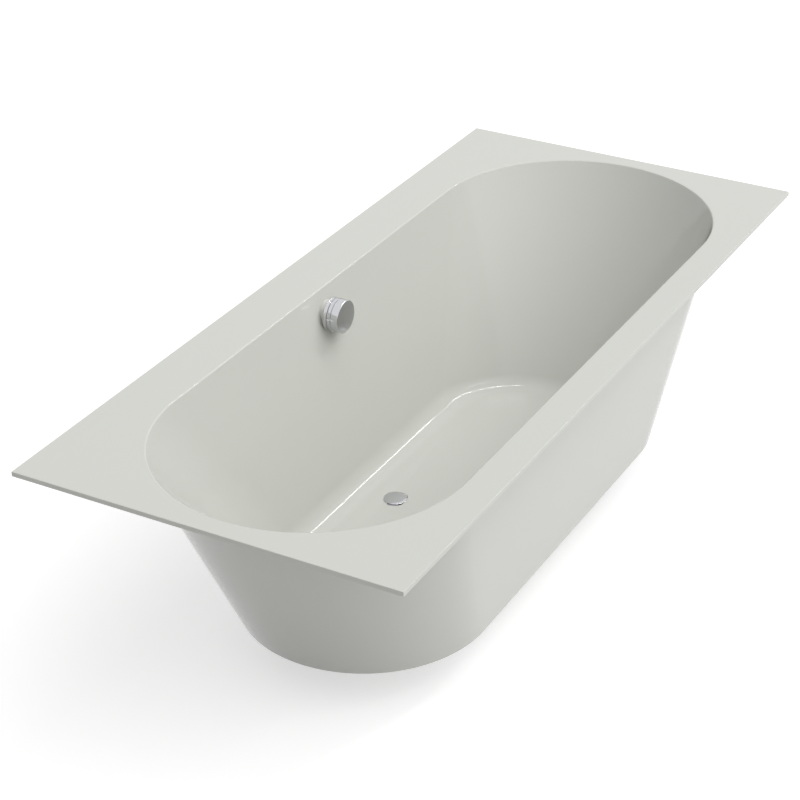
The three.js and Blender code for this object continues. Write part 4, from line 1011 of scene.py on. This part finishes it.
# Trap: ribbed drum, cleaning lid, screwed joints and the outlet bend
def build_trap():
    bm = fresh()
    drum = [
        (41, 13), (43.6, 13), (44, 13.5), (44, 22), (44, 24, 0.7), (44, 76, 0.7), (44, 78),
        (44, 82), (43.4, 83.4), (42, 84), (4, 84), (4, 81), (41, 81),
    ]
    fluted(bm, drum, at(trap), 144, 24)
    spin(bm, [(0, 80.6), (5, 80.6), (5, 85.4), (4.4, 86), (0, 86)], at(trap), 32)
    for turn in evenly(0, 2 * pi, 8)[:-1]:
        rib = at(trap + up(84.4), turn=turn)
        box(bm, (33, 1.8, 1.6), rib @ Matrix.Translation((21, 0, 0)))
    box(bm, (3, 84, 61.5), at(trap + up(51.75)))
    inlet = trap + up(outlet_height)
    spin(bm, [(18, -62), (20.4, -62), (21, -61.4), (21, -40), (18, -40)], at(inlet, "X"))
    spin(bm, [(21, -45), (22.4, -43.4), (22.4, -38), (21, -38)], at(inlet, "X"))
    outlet = trap + up(bend_height)
    spin(bm, [(22, 33), (25, 33), (25, 63.4), (24.4, 64), (22, 64)], at(outlet, "X"))
    spin(bm, [(25, 34), (26.4, 34), (26.4, 47), (25, 48.6)], at(outlet, "X"))
    finish_piece("trap_drum", bm, "white_plastic", "trap_body", angle=36)

    bm = fresh()
    lid = [
        (2, 8.5), (45.6, 8.5), (47, 9, 0.6), (48, 10.2, 1.3), (48, 16, 1.3), (47.2, 17.3, 0.5),
        (46.6, 17.5), (44.6, 17.5), (44.3, 17.2), (44.3, 11), (2, 11),
    ]
    fluted(bm, lid, at(trap), 216, 36, cap=True)
    for turn in (0, pi / 2):
        box(bm, (52, 4, 4), at(trap + up(7), turn=turn + pi / 4))
    spin(bm, [(24, 8.6), (24, 6.6), (26, 6.6), (26, 8.6)], at(trap))
    finish_piece("trap_cleaning_lid", bm, "grey_plastic", "trap_lid", angle=36)

    for piece, node, radius, hole, middle, half, height, lobes in (
        ("union_ring", "union_nut", 27, 21.3, -8, 11, outlet_height, 20),
        ("outlet_ring", "outlet_nut", 32, 25.3, bend_x, 12, bend_height, 24),
    ):
        outline = [
            (radius - 1.6, -half), (radius - 0.6, 0.6 - half, 0.5), (radius, 2 - half, 1.3),
            (radius, half - 5, 1.3), (radius - 0.4, half - 3.6, 0.2), (radius - 1, half - 0.5),
            (radius - 1.6, half),
        ]
        place = at((middle, drain.y, height), "X")
        fluted_nut(piece, node, hole, 0.5, outline, half, place, lobes)

    for piece, node, outer, axis, place, low, high in (
        ("lid_ring_seal", "trap_lid_seal", 44, "Z", trap, 11.3, 12.7),
        ("union_ring_seal", "union_seal", 21, "X", inlet, -63.7, -62.3),
        ("outlet_ring_seal", "outlet_seal", 25, "X", outlet, 64.3, 65.7),
    ):
        ring = [(outer - 2.7, low), (outer - 0.4, low), (outer, low + 0.4)]
        ring += [(outer, high - 0.4), (outer - 0.4, high), (outer - 2.7, high)]
        turned(piece, node, "black_rubber", ring, at(place, axis), 64)

    bm = fresh()
    straight, bend, turn, bend_steps = 26, 45, pi / 4, 16
    wide, ridge, end_wide, inside, sides = 25, 25.9, 24.4, 22, 72
    start = Vector((bend_x, drain.y, bend_height))
    leave = start + Vector((straight, 0, 0))
    out = Vector((cos(turn), -sin(turn), 0))
    points = [start + Vector((x, 0, 0)) for x in (0, 0.6, 13, 24)]
    for angle in evenly(0, turn, bend_steps):
        points.append(leave + Vector((bend * sin(angle), bend * (cos(angle) - 1), 0)))
    corner = points[-1]
    run = (2, 6, 7, 9, 10, 14, 22, 25.4, 26)
    points += [corner + out * reach for reach in run]
    outer = [end_wide] + [wide] * (len(points) - 8) + [ridge] * 2 + [wide] * 4 + [end_wide]
    upright = up(1)
    skin = tube_rows(points, outer, sides, upright)
    bore = tube_rows(points, [inside] * len(points), sides, upright)[::-1]
    shell(bm, skin + bore)
    finish_piece("outlet_elbow", bm, "white_plastic", "outlet_bend", angle=40)


build_trap()


# Overflow: flange, screws, gaskets, elbow, shaft and wheel
def build_overflow():
    dressed("overflow_flange", "zinc_steel", edge=0.25)
    screw_x = 14
    for side, name in ((-screw_x, "left"), (screw_x, "right")):
        bm = fresh()
        seat = overflow + Vector((side, 262.88, 0))
        pan_screw(bm, at(seat, "Y", pi), 3.6, 1.8, 2, 46.1)
        finish_piece("flange_pan_screw_" + name, bm, "zinc_steel", "flange_screw_" + name)
    dressed("inner_gasket", "white_rubber")
    dressed("wall_spacer", "black_rubber")
    dressed("outer_gasket", "black_rubber")

    bm = fresh()
    along = at(overflow, "Y")
    housing = [
        (22.3, 294), (32.4, 294), (33, 294.6), (33, 297.4), (32.4, 298), (28.6, 298), (28, 298.6),
        (28, 336), (27.4, 337.4), (26, 338), (0, 338), (0, 335), (25, 335), (25, 298), (22.3, 298),
    ]
    spin(bm, housing, along, 96)
    line = Vector((overflow.x, elbow_line_y, overflow.z))
    spigot = [(13, -26), (17, -26), (17, -60.8), (16.2, -62), (13.4, -62), (13, -61.6)]
    spin(bm, spigot, at(line))
    spin(bm, [(17, -27), (18.2, -27), (18.2, -32), (17, -33.6)], at(line))
    cable_line = line + up(-6.47)
    gland = [(1.1, -24), (5, -24), (5, -41.4), (4.4, -42), (1.1, -42)]
    spin(bm, gland, at(cable_line, "X"), 32)
    hex_nut(bm, 11, 4.9, -38, -33, at(cable_line, "X"))
    pipe(bm, 3.8, 8, 328, 336, along, 48)
    for side in (-1, 1):
        lug = at(overflow + Vector((side * screw_x, 0, 0)), "Y")
        pipe(bm, 2.3, 5, 301, 309, lug, 32)
        box(bm, (8, 8, 5), at(overflow + Vector((side * 22, 305, 0))))
    for angle in evenly(pi / 6, 11 * pi / 6, 5):
        turn = Matrix.Rotation(angle, 4, "Z")
        box(bm, (17, 1.8, 1.4), along @ turn @ Matrix.Translation((17, 0, 338.4)))
    spin(bm, [(0, 337), (7.4, 337), (7.4, 338.8), (6.8, 339.4), (0, 339.4)], along, 48)
    finish_piece("overflow_housing", bm, "white_plastic", "overflow_elbow", angle=36)

    shaft = [(0, 232.68), (3.1, 232.68), (3.5, 233.1), (3.5, 334.3), (3.1, 334.7), (0, 334.7)]
    turned("knob_shaft", "drive_shaft", "zinc_steel", shaft, along, 48, body="knob_set")
    wheel = [
        (3.8, 313), (9.6, 313), (10, 313.4), (9.6, 313.8), (5.6, 314.6), (5.3, 315.2),
        (5.3, 316.8), (5.6, 317.4), (9.6, 318.2), (10, 318.6), (9.6, 319), (3.8, 319),
    ]
    turned("cable_drum", "cable_wheel", "grey_plastic", wheel, along, 64, 40, "knob_set")


build_overflow()

# Hose and cable, on the same lines as their solids
hose_route = [
    (-15, 316, 427.7), (-15, 316, 393.7), (-15, 316, 359.7), (-26.25, 316, 291.7),
    (-48.75, 313.9, 129), (-60, 296.5, 94), (-60, 277, 68.5), (-60, 238, 60),
    (-60, 192.3, 60), (-60, 158.3, 60),
]
cable_route = [
    (-57.3, 316, 483.5), (-62.3, 316, 483.5), (-89.8, 316, 471), (-107.3, 316, 433.5),
    (-107.3, 316, 333.5), (-107.3, 316, 245), (-107.3, 316, 145), (-107.3, 306, 95),
    (-112.3, 273, 63.5), (-117.3, 228, 48.5), (-120.6, 166.2, 43.5), (-91.7, 131.8, 43.5),
    (-88.5, 127.9, 43.5),
]


def build_hose():
    spacing, sides, bore_radius, bore_skip = 1.16, 40, 13, 6
    cuff, cuff_radius, band_low, band_high, band_radius = 34, 17, 27, 29, 16.6
    pitch, valley, rib_height, rib_shape = 4.75, 14.7, 2.3, 0.7
    points, length = curve_points([Vector(p) for p in hose_route], spacing)
    ribs = round((length - 2 * cuff) / pitch)
    pitch = (length - 2 * cuff) / ribs
    radii = []
    for along in evenly(0, length, len(points) - 1):
        if along < cuff or along > length - cuff:
            band = min(along, length - along)
            radii.append(band_radius if band_low < band < band_high else cuff_radius)
        else:
            swing = 0.5 + 0.5 * cos(2 * pi * (along - cuff) / pitch)
            radii.append(valley + rib_height * swing ** rib_shape)
    skin = tube_rows(points, radii, sides)
    bore = tube_rows(points, [bore_radius] * len(points), sides)[::-1]
    bore = bore[:1] + bore[bore_skip:-bore_skip:bore_skip] + bore[-1:]
    bm = fresh()
    shell(bm, skin + bore)
    finish_piece("ribbed_hose", bm, "white_plastic", "overflow_hose", angle=75)

    hole, broken, half, lobes = 17.3, 0.4, 12, 18
    outline = [
        (20.6, -12), (21.5, -11.2, 0.4), (22, -10, 1.2), (22, 6, 1.2), (21.7, 7.4, 0.2),
        (21.2, 11.4), (20.6, 12),
    ]
    for name, node, place in (
        ("hose_ring_upper", "hose_nut_upper", at(hose_route[0])),
        ("hose_ring_lower", "hose_nut_lower", at(hose_route[-1], "Y")),
    ):
        fluted_nut(name, node, hole, broken, outline, half, place, lobes)


def build_cable():
    spacing, sides, slope = 4, 24, 6
    ferrule, ferrule_length, thinner = 3.3, 9, 0.8
    points, length = curve_points([Vector(p) for p in cable_route], spacing)
    radii = []
    for along in evenly(0, length, len(points) - 1):
        band = min(along, length - along)
        if band < ferrule_length:
            radii.append(ferrule)
        else:
            radii.append(ferrule - thinner * min((band - ferrule_length) / slope, 1))
    bm = fresh()
    sweep(bm, tube_rows(points, radii, sides))
    strand, strand_start, strand_end = 0.8, -2, 42.3
    strand = [(0, strand_start), (strand, strand_start), (strand, strand_end), (0, strand_end)]
    spin(bm, strand, at(cable_route[0], "X"), 16)
    finish_piece("sleeved_cable", bm, "black_rubber", "control_cable", angle=50)


build_hose()
build_cable()

# Floor, light and world
FLOOR_HALF = 30
WHITE = (1, 1, 1, 1)
PAPER = 0.6
PAPER_LIFT = 0.58


def seen_by_viewer(tree):
    """1 for camera, mirror and transmission rays, 0 for the rays that light things."""
    path = put(tree, "ShaderNodeLightPath").outputs
    seen, through = maths(tree, "MAXIMUM"), maths(tree, "MAXIMUM")
    wire(
        tree, (path["Is Camera Ray"], seen, 0), (path["Is Glossy Ray"], seen, 1),
        (seen, through, 0), (path["Is Transmission Ray"], through, 1),
    )
    return through


ground = bpy.data.meshes.new("studio_floor")
bm = bmesh.new()
bmesh.ops.create_grid(bm, x_segments=1, y_segments=1, size=FLOOR_HALF)
bm.to_mesh(ground)
bm.free()
floor = new_object("studio_floor", ground)
paper, tree, shader = new_material("white_paper")
fill(shader, {"Base Color": (PAPER, PAPER, PAPER, 1), "Roughness": 1.0})
fill(shader, {"Specular IOR Level": 0.0, "Emission Color": WHITE})
lift = maths(tree, "MULTIPLY", {1: PAPER_LIFT})
# From beneath, the paper is clear, so that the underside can be seen
behind = put(tree, "ShaderNodeNewGeometry").outputs["Backfacing"]
clear, either = put(tree, "ShaderNodeBsdfTransparent"), put(tree, "ShaderNodeMixShader")
wire(
    tree, (seen_by_viewer(tree), lift, 0), (lift, shader, "Emission Strength"),
    (behind, either, 0), (shader, either, 1), (clear, either, 2),
    (either, tree.nodes["Material Output"], "Surface"),
)
ground.materials.append(paper)

# Soft dome of light: compass angle, height angle and strength of each broad glow
SKY_GLOWS = [(0, 90, 0.15), (-90, 45, 2.1), (90, 45, 0.7), (-150, 45, 0.3)]
GLOW_FOCUS = 4


def aimed(azimuth, elevation):
    a, e = radians(azimuth), radians(elevation)
    return Vector((cos(a) * cos(e), sin(a) * cos(e), sin(e)))


world = scene.world or bpy.data.worlds.new("studio")
scene.world = world
world.use_nodes = True
tree = world.node_tree
backdrop = tree.nodes["Background"]
fill(backdrop, {"Color": WHITE})
direction = put(tree, "ShaderNodeTexCoord").outputs["Generated"]
total = None
for azimuth, elevation, strength in SKY_GLOWS:
    facing = maths(tree, "DOT_PRODUCT", {1: aimed(azimuth, elevation)}, "ShaderNodeVectorMath")
    ahead = maths(tree, "MAXIMUM", {1: 0.0})
    glow = maths(tree, "POWER", {1: GLOW_FOCUS})
    share = maths(tree, "MULTIPLY_ADD", {1: strength, 2: 0.0})
    wire(
        tree, (direction, facing, 0), (facing.outputs["Value"], ahead, 0), (ahead, glow, 0),
        (glow, share, 0),
    )
    if total:
        wire(tree, (total, share, 2))
    total = share
factor, dome, white = 0, 2, 3
ambient = put(tree, "ShaderNodeMix", {white: 1.0}, data_type="FLOAT")
wire(
    tree, (seen_by_viewer(tree), ambient, factor), (total, ambient, dome),
    (ambient, backdrop, "Strength"),
)

# A bent row of narrow strips, which draws the thin bright line along the floor's edge
STRIP_CENTRE = up(0.2)
STRIP_DISTANCE = 20
STRIP_WIDTH = 0.9
STRIP_GLOW = 60
STRIP_ROWS = {
    "long_strip": (1.0, [(-24, 32), (-39, 49), (-35, 65), (-22, 76), (21, 78)]),
    "corner_strip": (0.3, [(-63, 38), (-78, 50), (-100, 54)]),
}


def strip_light(name, start, end, share):
    """A narrow lamp far off, stretched between two directions."""
    first, last = aimed(*start) * STRIP_DISTANCE, aimed(*end) * STRIP_DISTANCE
    light = bpy.data.lights.new(name, "AREA")
    light.shape = "RECTANGLE"
    light.size, light.size_y = (last - first).length, STRIP_WIDTH
    light.energy = STRIP_GLOW * STRIP_WIDTH * light.size * share
    middle = (first + last) / 2
    outward = middle.normalized()
    along = (last - first).normalized()
    along = (along - outward * along.dot(outward)).normalized()
    facing = Matrix((along, outward.cross(along), outward)).transposed().to_4x4()
    lamp = new_object(name, light)
    lamp.matrix_world = Matrix.Translation(STRIP_CENTRE + middle) @ facing


for name, (share, row) in STRIP_ROWS.items():
    for number, (start, end) in enumerate(zip(row, row[1:])):
        strip_light("%s_%d" % (name, number), start, end, share)
